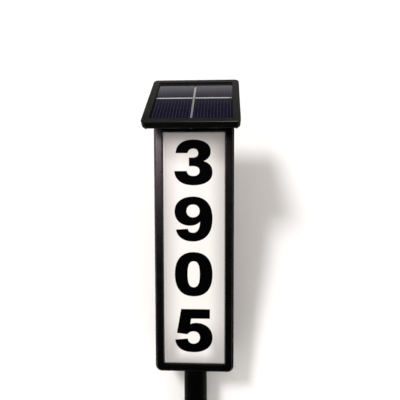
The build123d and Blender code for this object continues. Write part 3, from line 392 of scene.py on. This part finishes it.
# %% [markdown]
# ## Solar cells
#
# A silicon cell is a dark blue, faintly speckled wafer under a clear resin face. The colour comes from a
# very thin film, so it shifts a little from place to place, and the resin mirrors whatever is above the
# sign. The resin could be a sheet of glass over the cells. The shader's coat gives the same mirror on the
# wafer's own surface, with no rays that have to find their way through it.

# %% Cell and laminate
RESIN = {"Specular_IOR_Level": 0.0, "Coat_Weight": 1.0, "Coat_Roughness": 0.05, "Coat_IOR": 1.6}

cell = Finish("solar_cell")
speckle = cell.noise(scale=700.0, detail=5.0, roughness=0.6)
cell.set(
    Base_Color=cell.tones(speckle, (0.005, 0.0045, 0.014), (0.01, 0.0095, 0.026)),
    Roughness=cell.spread(cell.noise(scale=60.0), 0.3, 0.45),
    **RESIN,
)
finishes["solar_cell"] = cell.material

laminate = Finish("panel_backing")
weave = laminate.noise(scale=300.0)
laminate.set(
    Base_Color=laminate.tones(weave, (0.008, 0.008, 0.011), (0.014, 0.014, 0.018)),
    Roughness=0.4,
    **RESIN,
)
laminate.bump(laminate.noise(scale=500.0), strength=0.08, distance=0.00002)
finishes["panel_backing"] = laminate.material
print("all finishes:", len(finishes))

# %% [markdown]
# ## Dress the CAD pieces
#
# Every piece of the real sign has one finish. They could be assigned one line at a time, but the record
# already says which slot each CAD piece takes its finish from, so one loop dresses them all and none is
# forgotten.

# %% Assign the finishes
SLOT_OF = {entry["node"]: entry["material_slot"] for entry in frame["record"]["subparts"]}
for node, slot in SLOT_OF.items():
    mesh = nodes[node].data
    mesh.materials.clear()
    mesh.materials.append(finishes[slot])
print("dressed", len(SLOT_OF), "CAD pieces")

# %% [markdown]
# ## Softer edges
#
# A moulded edge is never quite sharp, and its thin highlight tells the eye that a black piece has a rim. The
# CAD edges are plain bevels. A Bevel modifier would round them all, the hidden ones too, and a Bevel node
# in the shader is lost in the exported model. So ten pieces get a rounded copy of their CAD mesh: it is
# welded, its triangles are joined back into flat faces, and the chosen sharp edges are rounded. Weighted
# normals keep the flat faces flat up to the rounding. The copy then stands in for the CAD piece, and its
# share of that piece's surface is printed, to see that no face has folded over.

# %% Rounding the edges of a mesh
WELD = 2e-6  # metres
FLAT_ANGLE, EDGE_ANGLE, SHADING_ANGLE = radians(0.5), radians(30), radians(32)


def rounded(source, width, keep_edge):
    """The source's mesh with its chosen sharp edges rounded to this width, and how many they are."""
    shape = bmesh.new()
    shape.from_mesh(source)
    bmesh.ops.remove_doubles(shape, verts=shape.verts, dist=WELD)
    bmesh.ops.dissolve_limit(shape, angle_limit=FLAT_ANGLE, verts=shape.verts, edges=shape.edges)
    sharp = [edge for edge in shape.edges if edge.is_manifold and edge.calc_face_angle() > EDGE_ANGLE
             and keep_edge(*(corner.co for corner in edge.verts))]
    bmesh.ops.bevel(shape, geom=sharp, offset=width, segments=2, profile=0.5, affect="EDGES",
                    clamp_overlap=False)
    for face in shape.faces:
        face.smooth = True
    mesh = bpy.data.meshes.new("rounded")
    shape.to_mesh(mesh)
    shape.free()
    mesh.set_sharp_from_angle(angle=SHADING_ANGLE)
    mesh.materials.append(source.materials[0])
    return mesh, len(sharp)


print("sharp edges turn by more than", round(degrees(EDGE_ANGLE)), "degrees")

# %% Standing in for a CAD piece
BODIES = frame["record"]["behaviour"]["bodies"]
BODY_OF = {node: body for body, members in BODIES.items() for node in members}


def link(name, mesh):
    piece = bpy.data.objects.new(name, mesh)
    bpy.context.scene.collection.objects.link(piece)
    return piece


def evaluated_mesh(piece):
    """What the piece's modifiers make of it, as a plain mesh."""
    bpy.context.view_layer.update()
    return bpy.data.meshes.new_from_object(piece.evaluated_get(bpy.context.evaluated_depsgraph_get()))


def skin(mesh):
    return sum(face.area for face in mesh.polygons)


def soften(node, width, keep_edge):
    """Puts a rounded copy in the place of a CAD piece."""
    source = nodes[node].data
    mesh, count = rounded(source, width, keep_edge)
    soft = link(node + "_soft", mesh)
    weights = soft.modifiers.new("flat faces stay flat", "WEIGHTED_NORMAL")
    weights.keep_sharp = True
    soft.data = evaluated_mesh(soft)
    soft.modifiers.remove(weights)
    soft.data.name = node + "_soft"
    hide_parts(node)
    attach(soft, BODY_OF[node])
    share = skin(soft.data) / skin(source)
    print(node, "has", count, "soft edges, and", round(share, 4), "of the CAD piece's surface")


print("pieces on each body:", {body: len(members) for body, members in BODIES.items()})

# %% Which edges are rounded
RIM_REACH = 66 * MM
BEZEL_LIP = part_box("front_bezel")[0].y + 1.2 * MM
HOUSING_BACK, HOUSING_SIDE = 20.0 * MM, 59.5 * MM


def head_place(point):
    """Where a point is in the head's own flat frame."""
    return head_matrix.inverted() @ point


def everywhere(a, b):
    return True


def on_head_outside(a, b):
    """The frame's outer edges, but not the rim's inner edge or the hollow underside."""
    return all(max(abs(point.x), abs(point.y)) > RIM_REACH for point in (head_place(a), head_place(b)))


def under_head(depth):
    """Edges further under the panel than this."""
    return lambda a, b: max(head_place(a).z, head_place(b).z) < -depth


def on_bezel_front(a, b):
    return max(a.y, b.y) < BEZEL_LIP


def on_housing_back(a, b):
    return min(a.y, b.y) > HOUSING_BACK and max(abs(a.x), abs(b.x)) > HOUSING_SIDE


SOFT_EDGES = (
    # node, width in mm, which edges
    ("head_frame", 0.6, on_head_outside),
    ("front_bezel", 0.35, on_bezel_front),
    ("rear_housing", 0.8, on_housing_back),
    ("head_base", 0.4, under_head(14 * MM)),
    ("battery_door", 0.4, under_head(35.5 * MM)),
    ("hinge_bracket", 0.4, everywhere),
    ("ground_spike", 0.35, everywhere),
    ("power_button", 0.5, under_head(35.5 * MM)),
    ("hinge_bolt", 0.3, everywhere),
    ("hinge_nut", 0.25, everywhere),
)
for node, width, keep_edge in SOFT_EDGES:
    soften(node, width * MM, keep_edge)

# %% [markdown]
# ## Geometry Nodes for what repeats
#
# This sign has 26 screws and 24 finger lines. They could be built and copied in a loop of mesh code. In
# Geometry Nodes a piece is made once, from named sizes, and repeated on whatever points it is given, so the
# same tree serves screws of every size. A tree ends in Realize Instances, and the helper turns its result
# into a plain mesh, so nothing live is left on the piece.

# %% Geometry Nodes helpers
CREASE_ANGLE = radians(30)


def new_tree(name, inputs):
    """An empty tree with named inputs: (name, socket type, default)."""
    tree = bpy.data.node_groups.new(name, "GeometryNodeTree")
    tree.interface.new_socket("Geometry", in_out="INPUT", socket_type="NodeSocketGeometry")
    for label, kind, default in inputs:
        socket = tree.interface.new_socket(label, in_out="INPUT", socket_type=kind)
        if default is not None:
            socket.default_value = default
    tree.interface.new_socket("Geometry", in_out="OUTPUT", socket_type="NodeSocketGeometry")
    return tree, tree.nodes.new("NodeGroupInput").outputs, tree.nodes.new("NodeGroupOutput").inputs


def finish_tree(tree, instances, given, result):
    """Realize Instances and Set Material, then out."""
    real = add_node(tree, "GeometryNodeRealizeInstances", Geometry=instances)
    painted = add_node(tree, "GeometryNodeSetMaterial", Geometry=real.outputs["Geometry"],
                       Material=given["Material"])
    tree.links.new(painted.outputs["Geometry"], result["Geometry"])


def grow(name, tree, values, base=None, place=Matrix.Identity(4)):
    """Runs a tree on base, and returns its result as a plain mesh object, carried by place."""
    carrier = link("carrier", base or bpy.data.meshes.new("carrier"))
    modifier = carrier.modifiers.new("tree", "NODES")
    modifier.node_group = tree
    for item in tree.interface.items_tree:
        if item.in_out == "INPUT" and item.name in values:
            modifier[item.identifier] = values[item.name]
    mesh = evaluated_mesh(carrier)
    bpy.data.objects.remove(carrier)
    mesh.name = name
    mesh.transform(place)
    mesh.shade_smooth()
    mesh.set_sharp_from_angle(angle=CREASE_ANGLE)
    return link(name, mesh)


print("tree helpers: new_tree, finish_tree, grow")

# %% [markdown]
# ## Screws
#
# All the screws are alike: a low round head with a bevelled rim and a cross recess, on a plain shank. The
# recess could be a dark bump in the material, but it would vanish in the exported mesh. So the tree makes a
# real one: it takes a cylinder, draws in the top ring, cuts the cross with a Mesh Boolean, and stands a copy
# on every point it is given. Each copy is turned at random, as a driver leaves them.

# %% Screw tree: its inputs
screw_tree, given, result = new_tree("screws", [
    ("Head Radius", "NodeSocketFloat", 0.003),
    ("Head Height", "NodeSocketFloat", 0.002),
    ("Shank Radius", "NodeSocketFloat", 0.0015),
    ("Shank Length", "NodeSocketFloat", 0.01),
    ("Seed", "NodeSocketInt", 1),
    ("Material", "NodeSocketMaterial", None),
])


def times(length, share):
    return maths(screw_tree, "MULTIPLY", length, share)


def along_z(value):
    return add_node(screw_tree, "ShaderNodeCombineXYZ", Z=value).outputs["Vector"]


def lifted(piece, length, share):
    """Moves a piece up by this share of a length."""
    moved = add_node(screw_tree, "GeometryNodeTransform", Geometry=piece,
                     Translation=along_z(times(length, share)))
    return moved.outputs["Geometry"]


print("screw inputs:", ", ".join(socket.name for socket in given if socket.name))

# %% Screw tree: the head and its cross
HEAD_SIDES = 20
HEAD_TOP = 0.8  # these three are shares of the head's radius
RECESS_LENGTH, RECESS_WIDTH = 1.15, 0.27

blank = add_node(screw_tree, "GeometryNodeMeshCylinder", Vertices=HEAD_SIDES, Side_Segments=2,
                 Radius=given["Head Radius"], Depth=given["Head Height"])
corner_place = screw_tree.nodes.new("GeometryNodeInputPosition").outputs["Position"]
drawn_in = screw_tree.nodes.new("ShaderNodeVectorMath")
drawn_in.operation = "MULTIPLY"
connect(screw_tree, corner_place, drawn_in.inputs[0])
connect(screw_tree, (HEAD_TOP, HEAD_TOP, 1.0), drawn_in.inputs[1])
bevelled = add_node(screw_tree, "GeometryNodeSetPosition", Geometry=blank.outputs["Mesh"],
                    Selection=blank.outputs["Top"], Position=drawn_in.outputs["Vector"])
recessed = screw_tree.nodes.new("GeometryNodeMeshBoolean")
recessed.operation = "DIFFERENCE"
connect(screw_tree, bevelled.outputs["Geometry"], recessed.inputs["Mesh 1"])
for long_side, short_side in (("X", "Y"), ("Y", "X")):
    blade_sides = {
        long_side: times(given["Head Radius"], RECESS_LENGTH),
        short_side: times(given["Head Radius"], RECESS_WIDTH),
    }
    blade_size = add_node(screw_tree, "ShaderNodeCombineXYZ", Z=given["Head Height"], **blade_sides)
    blade = add_node(screw_tree, "GeometryNodeMeshCube", Size=blade_size.outputs["Vector"])
    blade = lifted(blade.outputs["Mesh"], given["Head Height"], 0.5)
    connect(screw_tree, blade, recessed.inputs["Mesh 2"])
print("a head is cut from", HEAD_SIDES, "sides")

# %% Screw tree: the shank, and a copy on every point
SHANK_SIDES = 12

shank = add_node(screw_tree, "GeometryNodeMeshCylinder", Vertices=SHANK_SIDES,
                 Radius=given["Shank Radius"], Depth=given["Shank Length"])
whole = screw_tree.nodes.new("GeometryNodeJoinGeometry")
for piece in (lifted(recessed.outputs["Mesh"], given["Head Height"], 0.5),
              lifted(shank.outputs["Mesh"], given["Shank Length"], -0.5)):
    connect(screw_tree, piece, whole.inputs["Geometry"])
driver_turn = screw_tree.nodes.new("FunctionNodeRandomValue")
driver_turn.data_type = "FLOAT"
driver_turn.inputs["Max"].default_value = pi / 2
connect(screw_tree, given["Seed"], driver_turn.inputs["Seed"])
stand = add_node(screw_tree, "GeometryNodeInstanceOnPoints", Points=given["Geometry"],
                 Instance=whole.outputs["Geometry"], Rotation=along_z(driver_turn.outputs["Value"]))
finish_tree(screw_tree, stand.outputs["Instances"], given, result)
print("screw tree:", len(screw_tree.nodes), "nodes")

# %% [markdown]
# ## Drive the screws
#
# Screws hold the housing, the post, the bracket, the head and the battery door. Each could be aimed by
# itself, but those of one group all look the same way. So a group's points are drawn flat, and one matrix
# turns them to the face that the heads lie on: the back of the box and post, the underside of the box, the
# hinge bracket, or the underside of the head. Each group stands in for the CAD model's plain screws.

# %% Screws in their places


def facing_back(y):
    """Carries a flat drawing, X across and -Z as Y, to this depth, facing back."""
    return Matrix.Translation((0.0, y, 0.0)) @ Matrix.Rotation(-pi / 2, 4, "X")


def facing_up(z):
    return Matrix.Translation((0.0, 0.0, z))


def facing_down(z, base=Matrix.Identity(4)):
    return base @ facing_up(z) @ Matrix.Rotation(pi, 4, "X")


HEAD_REACH = 65.8
HOUSING_SPOTS = [(x, -z) for x in (-55.7, 55.7) for z in (254, 438, 622)]
POST_SPOTS = [(0.0, -26.5), (0.0, -213.5)]
SPIGOT_SPOTS = [(x, -y) for x in (-25, 25) for y in (0, 13)]
BRACKET_SPOTS = [(x, y) for x in (-24, 24) for y in (-5, 13)]
HEAD_SPOTS = [(x * HEAD_REACH, y * HEAD_REACH) for x in (-1, 0, 1) for y in (-1, 0, 1) if x or y]
DOOR_SPOTS = [(x, -43.5) for x in (-50.5, 22.5)]
SCREW_SIZES = ("Head Radius", "Head Height", "Shank Radius", "Shank Length")
SCREW_GROUPS = (
    # node, where its drawing goes, spots in mm, and the four screw sizes in mm
    ("housing_screws", facing_back(3.0 * MM), HOUSING_SPOTS, 2.8, 2.2, 1.45, 15.0),
    ("post_screws", facing_back(19.35 * MM), POST_SPOTS, 4.6, 3.0, 2.4, 4.8),
    ("spigot_screws", facing_down(237.5 * MM), SPIGOT_SPOTS, 3.4, 2.2, 1.7, 7.8),
    ("bracket_screws", facing_up(641.5 * MM), BRACKET_SPOTS, 3.3, 2.2, 1.75, 8.3),
    ("head_screws", facing_down(-12.0 * MM, head_matrix), HEAD_SPOTS, 2.3, 1.7, 1.2, 7.0),
    ("door_screws", facing_down(-36.8 * MM, head_matrix), DOOR_SPOTS, 2.3, 1.7, 1.2, 9.8),
)
for seed, (node, place, spots, *screw_sizes) in enumerate(SCREW_GROUPS):
    points = bpy.data.meshes.new(node + "_points")
    points.from_pydata([(x * MM, y * MM, 0.0) for x, y in spots], [], [])
    values = {label: size * MM for label, size in zip(SCREW_SIZES, screw_sizes)}
    values.update({"Seed": seed, "Material": finishes["screw_steel"]})
    screws = grow(node + "_cross", screw_tree, values, points, place)
    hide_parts(node)
    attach(screws, BODY_OF[node])
    print(node, len(spots), "screws,", len(screws.data.polygons), "faces")

# %% [markdown]
# ## Finger lines on the cells
#
# Thin silver fingers are printed on a cell to collect its current. They run up the slope at an even pitch,
# and the cross ribbon joins them. A striped material would do for one picture, but the exported mesh would
# lose the lines. So a mesh line carries one thin bar per finger. The print is dull and lies under the resin,
# so its finish is a pale tone of the cell's own, with the same coat.

# %% Finger tree
fingers_tree, given, result = new_tree("finger_lines", [
    ("Count", "NodeSocketInt", 12),
    ("Pitch", "NodeSocketFloat", 0.005),
    ("Finger", "NodeSocketVector", None),
    ("Start", "NodeSocketVector", None),
    ("Material", "NodeSocketMaterial", None),
])
step = add_node(fingers_tree, "ShaderNodeCombineXYZ", X=given["Pitch"])
line = add_node(fingers_tree, "GeometryNodeMeshLine", Count=given["Count"],
                Start_Location=given["Start"], Offset=step.outputs["Vector"])
bar = add_node(fingers_tree, "GeometryNodeMeshCube", Size=given["Finger"])
bars = add_node(fingers_tree, "GeometryNodeInstanceOnPoints", Points=line.outputs["Mesh"],
                Instance=bar.outputs["Mesh"])
finish_tree(fingers_tree, bars.outputs["Instances"], given, result)
print("finger tree:", len(fingers_tree.nodes), "nodes")

# %% Fingers
CELL_WIDTH, CELL_LENGTH, CELL_GAP = 58.0 * MM, 114.0 * MM, 3.0 * MM
CELL_UPPER_END = (61.0 - 4.5) * MM
CELL_MIDDLE_Y = CELL_UPPER_END - CELL_LENGTH / 2
CELL_TOP_Z = -3.0 * MM
FINGERS_PER_CELL = 12
FINGER_PITCH = 4.85 * MM
FINGER_SIZE = (0.45 * MM, CELL_LENGTH - 1.5 * MM, 0.04 * MM)
FINGER_MIDDLE_Z = CELL_TOP_Z + FINGER_SIZE[2] / 2

printed = Finish("finger_silver")
paste = printed.noise(scale=400.0)
printed.set(
    Base_Color=printed.tones(paste, (0.04, 0.037, 0.052), (0.08, 0.075, 0.092)),
    Roughness=0.5,
    **RESIN,
)
for side, name in ((-1, "fingers_left"), (1, "fingers_right")):
    cell_middle = side * (CELL_WIDTH + CELL_GAP) / 2
    first_finger = cell_middle - FINGER_PITCH * (FINGERS_PER_CELL - 1) / 2
    fingers = grow(name, fingers_tree, {
        "Count": FINGERS_PER_CELL,
        "Pitch": FINGER_PITCH,
        "Finger": FINGER_SIZE,
        "Start": (first_finger, CELL_MIDDLE_Y, FINGER_MIDDLE_Z),
        "Material": printed.material,
    }, place=head_matrix)
    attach(fingers, "head")
    print(name, len(fingers.data.polygons), "faces")

# %% [markdown]
# ## Solder
#
# The two ribbons are soldered where they cross, and at their ends. Solder sets as a low, rounded bead. It
# could be sculpted, but at a millimetre or two nobody sees more than its glint, so each bead is a squashed
# sphere, half sunk into the ribbon, and a patchy metal gives it the uneven skin.

# %% Solder beads
RIBBON_TOP_Z = -2.85 * MM
BEAD_HEIGHT = 0.35 * MM
CROSSING_Y = 8.8
BEADS = (
    # across, up the slope, half width and half length, in mm
    (0.0, CROSSING_Y, 1.7, 1.5),
    (-57.5, CROSSING_Y, 1.3, 1.1),
    (57.5, CROSSING_Y, 1.3, 1.1),
    (0.0, -55.0, 1.2, 1.3),
    (0.0, 48.0, 1.2, 1.3),
)
solder = metal("solder", (0.62, 0.56, 0.46), roughness=0.45, stretch=(3.0, 3.0, 3.0), streaks=0.2).material
beads = bmesh.new()
for x, y, half_width, half_length in BEADS:
    bead = Matrix.Translation((x * MM, y * MM, RIBBON_TOP_Z))
    bead = bead @ Matrix.Diagonal((half_width * MM, half_length * MM, BEAD_HEIGHT, 1.0))
    bmesh.ops.create_uvsphere(beads, u_segments=20, v_segments=10, radius=1.0, matrix=head_matrix @ bead)
for face in beads.faces:
    face.smooth = True
bead_mesh = bpy.data.meshes.new("solder_beads")
beads.to_mesh(bead_mesh)
beads.free()
bead_mesh.materials.append(solder)
solder_beads = link("solder_beads", bead_mesh)
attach(solder_beads, "head")
print("solder beads:", len(bead_mesh.polygons), "faces")

# %% [markdown]
# ## Numerals
#
# The numerals are thick black vinyl, cut in a heavy grotesque. A Text object would be quicker, but Blender's
# own font is too light and another would have to be read from disk. A real cutter follows an outline of lines
# and Bézier curves, and so does this: each outline is a short list of moves on a grid of 100 units to the
# numeral's height, filled by a flat curve with a slight thickness.

# %% Numeral outlines
NINE = [
    [
        (4, 26), ("C", 7, 9, 22, -1, 42, -1), ("C", 70, -1, 87, 17, 87, 51), ("C", 87, 84, 71, 101, 43, 101),
        ("C", 18, 101, 1, 88, 1, 67), ("C", 1, 48, 15, 35, 36, 35), ("C", 45, 35, 53, 38, 59, 44),
        ("C", 58, 28, 53, 19, 43, 19), ("C", 36, 19, 32, 22, 31, 28),
    ],
    [
        (43, 83), ("C", 52, 83, 58, 77, 58, 68), ("C", 58, 60, 52, 54, 43, 54), ("C", 34, 54, 28, 60, 28, 68),
        ("C", 28, 77, 34, 83, 43, 83),
    ],
]
ZERO = [
    [
        (44, 101), ("C", 73, 101, 87, 82, 87, 50), ("C", 87, 18, 73, -1, 44, -1), ("C", 15, -1, 1, 18, 1, 50),
        ("C", 1, 82, 15, 101, 44, 101),
    ],
    [
        (44, 80), ("C", 34, 80, 30, 71, 30, 50), ("C", 30, 29, 34, 20, 44, 20), ("C", 54, 20, 58, 29, 58, 50),
        ("C", 58, 71, 54, 80, 44, 80),
    ],
]
THREE = [[
    (4, 71), ("C", 5, 90, 20, 101, 44, 101), ("C", 68, 101, 83, 91, 83, 75), ("C", 83, 64, 77, 57, 67, 53),
    ("C", 79, 50, 87, 42, 87, 28), ("C", 87, 10, 71, -1, 44, -1), ("C", 18, -1, 2, 11, 1, 31), (29, 31),
    ("C", 30, 24, 35, 20, 44, 20), ("C", 53, 20, 58, 24, 58, 31), ("C", 58, 39, 52, 42, 42, 42), (34, 42),
    (34, 61), (42, 61), ("C", 50, 61, 55, 64, 55, 70), ("C", 55, 77, 51, 81, 44, 81),
    ("C", 37, 81, 32, 77, 31, 71),
]]
FIVE = [[
    (15, 100), (81, 100), (81, 78), (38, 78), (36, 65), ("C", 40, 67, 45, 68, 50, 68),
    ("C", 72, 68, 87, 54, 87, 34), ("C", 87, 12, 70, -1, 43, -1), ("C", 18, -1, 3, 9, 1, 28), (30, 31),
    ("C", 31, 23, 36, 19, 43, 19), ("C", 52, 19, 58, 25, 58, 34), ("C", 58, 43, 52, 48, 43, 48),
    ("C", 37, 48, 33, 46, 29, 41), (5, 44),
]]
NUMERALS = (("three", THREE), ("nine", NINE), ("zero", ZERO), ("five", FIVE))
GRID_HEIGHT, GRID_WIDTH = 100, 88
print("numerals:", ", ".join(figure for figure, _ in NUMERALS))

# %% Outlines into meshes


def bezier_knots(moves, scale):
    """Writes one closed outline as Bézier points: a corner, or a curve to a corner."""
    knots = []
    for move in moves:
        if move[0] == "C":
            knots[-1][2] = (move[1], move[2])
            knots.append([(move[3], move[4]), (move[5], move[6]), None])
        else:
            knots.append([None, move, None])
    return [[None if p is None else (p[0] * scale, p[1] * scale, 0.0) for p in knot] for knot in knots]


def numeral_mesh(name, contours, height, thickness):
    curve = bpy.data.curves.new(name, "CURVE")
    curve.dimensions = "2D"
    curve.fill_mode = "BOTH"
    curve.resolution_u = 10
    curve.extrude = thickness / 2
    for contour in contours:
        knots = bezier_knots(contour, height / GRID_HEIGHT)
        spline = curve.splines.new("BEZIER")
        spline.bezier_points.add(len(knots) - 1)
        spline.use_cyclic_u = True
        for index, (point, (before, corner, after)) in enumerate(zip(spline.bezier_points, knots)):
            last, following = knots[index - 1][1], knots[(index + 1) % len(knots)][1]
            point.handle_left_type = point.handle_right_type = "FREE"
            point.co = corner
            point.handle_left = before or Vector(corner).lerp(Vector(last), 1 / 3)
            point.handle_right = after or Vector(corner).lerp(Vector(following), 1 / 3)
    carrier = bpy.data.objects.new(name, curve)
    mesh = bpy.data.meshes.new_from_object(carrier)
    bpy.data.objects.remove(carrier)
    return mesh


print("a numeral is", GRID_WIDTH, "wide where it is", GRID_HEIGHT, "high")

# %% Numerals on the diffuser


def face_matrix(x, y, z):
    """Carries a flat drawing, X across and Y up, onto the sign's front at this place."""
    return Matrix.Translation((0.0, y, z)) @ Matrix.Rotation(pi / 2, 4, "X") @ Matrix.Translation((x, 0, 0))


NUMERAL_HEIGHT = 70.5 * MM
NUMERAL_THICK = 0.3 * MM
NUMERAL_X = -0.9 * MM
NUMERAL_FEET = (0.5415, 0.4518, 0.3628, 0.2705)
DIFFUSER_BORDER = 0.6 * MM  # how far the sheet lies behind its own raised border
NUMERAL_Y = DIFFUSER_LOW.y + DIFFUSER_BORDER - NUMERAL_THICK / 2

vinyl = grained("numeral_vinyl", (0.0006, 0.0006, 0.0006), 0.5, grain=800, depth=0.00002, specular=0.01)
for (figure, contours), foot_z in zip(NUMERALS, NUMERAL_FEET):
    mesh = numeral_mesh("numeral_" + figure, contours, NUMERAL_HEIGHT, NUMERAL_THICK)
    left = NUMERAL_X - GRID_WIDTH / 2 * NUMERAL_HEIGHT / GRID_HEIGHT
    mesh.transform(face_matrix(left, NUMERAL_Y, foot_z))
    mesh.materials.append(vinyl)
    numeral = link("numeral_" + figure, mesh)
    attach(numeral, "sign")
    print(numeral.name, len(mesh.polygons), "faces")

# %% [markdown]
# ## The studio
#
# The sign was photographed against white paper that stands close behind it, so that the head throws a soft
# shadow to the lower right. A flat wall would do for most objects. Here the shadow's shape tells that the
# paper is bent: near the box at its foot, further away behind the head. Its back is see-through, so that the
# sign can be looked at from behind. Seen in a glossy surface the paper darkens above a certain height, as
# it does where a studio's paper ends, and the floor, at the spike's tip, isn't seen there at all.

# %% Sheets of paper
FLOOR_GAP = 0.5 * MM  # under the spike's tip
FLOOR_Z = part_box("ground_spike")[0].z - FLOOR_GAP
PAPER_HALF_WIDTH = 1.6
PAPER_WHITE = (0.95, 0.95, 0.95)


def white_paper(name):
    finish = Finish(name)
    finish.set(Base_Color=(*PAPER_WHITE, 1.0), Roughness=0.9, Specular_IOR_Level=0.0)
    return finish


def stage_sheet(name, rows, material):
    """A sheet through rows of (y, z), from -X to +X, facing the camera."""
    mesh = bpy.data.meshes.new(name)
    corners = [(x, y, z) for y, z in rows for x in (-PAPER_HALF_WIDTH, PAPER_HALF_WIDTH)]
    faces = [(2 * i, 2 * i + 1, 2 * i + 3, 2 * i + 2) for i in range(len(rows) - 1)]
    mesh.from_pydata(corners, [], faces)
    mesh.shade_smooth()
    mesh.materials.append(material)
    sheet = link(name, mesh)
    return sheet


print("floor at", round(FLOOR_Z, 4), "m")

# %% Paper and floor
PAPER_PROFILE = (
    # behind the sign's middle, and up
    (0.033, FLOOR_Z), (0.033, 0.12), (0.04, 0.2), (0.064, 0.3), (0.095, 0.38), (0.121, 0.47), (0.172, 0.58),
    (0.21, 0.75), (0.33, 1.41), (0.36, 1.56),
)
FADE_Z = (1.2, 1.5)
FADE_TONES = ((0.0, 0.95), (0.22, 0.62), (0.45, 0.25), (0.7, 0.07), (1.0, 0.02))

paper = white_paper("paper_white")
ray = paper.tree.nodes.new("ShaderNodeLightPath").outputs
fade = map_range(paper.tree, split(paper.tree, paper.coordinates)["Z"], FADE_Z, (0.0, 1.0))
faded = paper.ramp(fade, *((place, (tone, tone, tone)) for place, tone in FADE_TONES))
paper.set(Base_Color=choose(paper.tree, ray["Is Glossy Ray"], (*PAPER_WHITE, 1.0), faded, "RGBA"))

see_through = paper.tree.nodes.new("ShaderNodeMixShader")
for socket, output in zip(see_through.inputs, (
    paper.tree.nodes.new("ShaderNodeNewGeometry").outputs["Backfacing"],
    paper.shader.outputs["BSDF"],
    paper.tree.nodes.new("ShaderNodeBsdfTransparent").outputs["BSDF"],
)):
    connect(paper.tree, output, socket)
connect(paper.tree, see_through.outputs["Shader"], paper.tree.nodes["Material Output"].inputs["Surface"])

stage_sheet("paper", PAPER_PROFILE, paper.material)
floor = stage_sheet("floor", ((-2.0, FLOOR_Z), (3.0, FLOOR_Z)), white_paper("floor_white").material)
floor.visible_glossy = False
print("paper up to", PAPER_PROFILE[-1][1], "m")

# %% [markdown]
# ## Lamps
#
# A black object needs two kinds of light. The key lamp at the upper left, in front, lights what is matt: it
# whitens the paper and throws the shadow. What a glossy black surface shows is its reflections, and one
# large soft light for both would wash the whole bezel grey. So the key lamp is hidden from glossy rays, and
# two cards from diffuse ones, as a photographer does with polarisers and flags. The sheen card stands near
# the camera on the left and draws the sheen down the bezel's left side. The edge card hangs over the camera
# and is linked to the head's frame alone, where it lights the rim, so no cell shows it as a white disc.

# %% Key lamp and two cards


def lamp(name, place, aim, size, watts):
    light = bpy.data.lights.new(name, "AREA")
    light.shape = "DISK"
    light.size = size
    light.energy = watts
    holder = bpy.data.objects.new(name, light)
    bpy.context.scene.collection.objects.link(holder)
    holder.location = place
    holder.rotation_euler = (Vector(aim) - Vector(place)).to_track_quat("-Z", "Y").to_euler()
    return holder


key = lamp("key_lamp", place=(-1.97, -3.51, 3.47), aim=(0.0, 0.0, 0.5), size=1.2, watts=155.0)
key.visible_glossy = False
sheen_card = lamp("sheen_card", place=(-0.59, -1.2, 0.9), aim=(0.0, 0.0, 0.6), size=0.69, watts=19.0)
sheen_card.visible_diffuse = False
sheen_card.data.color = (1.09, 0.89, 0.99)
edge_card = lamp("edge_card", place=(0.2, -0.62, 1.5), aim=(0.0, -0.08, 0.63), size=0.45, watts=39.0)
edge_card.visible_diffuse = False
frame_only = bpy.data.collections.new("frame_only")
frame_only.objects.link(bpy.data.objects["head_frame_soft"])
edge_card.light_linking.receiver_collection = frame_only
print("lamps:", ", ".join(holder.name for holder in (key, sheen_card, edge_card)))

# %% [markdown]
# ## The room
#
# A white room fills the shadows evenly and a little warmly. It could be built as walls round the sign, but
# the world's background does the same with one strength for each kind of ray. The camera sees it white, matt
# surfaces get its fill, and glossy ones see two grey side walls with darkness between them, which draw the
# soft edges of the black pieces.

# %% World light
FILL = 0.6
FILL_TINT = (1.06, 0.995, 0.945, 1.0)
WHITE = (1.0, 1.0, 1.0, 1.0)
WALLS_START, WALLS_FULL = 0.4, 0.8  # how far a direction points sideways, from 0 to 1
DARKNESS, WALL_GREY = 0.005, 0.3

world = bpy.data.worlds.new("white_room")
bpy.context.scene.world = world
world.use_nodes = True
room = world.node_tree
ray = room.nodes.new("ShaderNodeLightPath").outputs
direction = room.nodes.new("ShaderNodeTexCoord").outputs["Generated"]
sideways = maths(room, "ABSOLUTE", split(room, direction)["X"])
walls = map_range(room, sideways, (WALLS_START, WALLS_FULL), (DARKNESS, WALL_GREY))
unseen = choose(room, ray["Is Glossy Ray"], FILL, walls)
background = room.nodes["Background"]
connect(room, choose(room, ray["Is Camera Ray"], unseen, 1.0), background.inputs["Strength"])
connect(room, choose(room, ray["Is Camera Ray"], FILL_TINT, WHITE, "RGBA"), background.inputs["Color"])

bpy.context.scene.view_settings.view_transform = "Standard"
print("room:", len(room.nodes), "nodes")
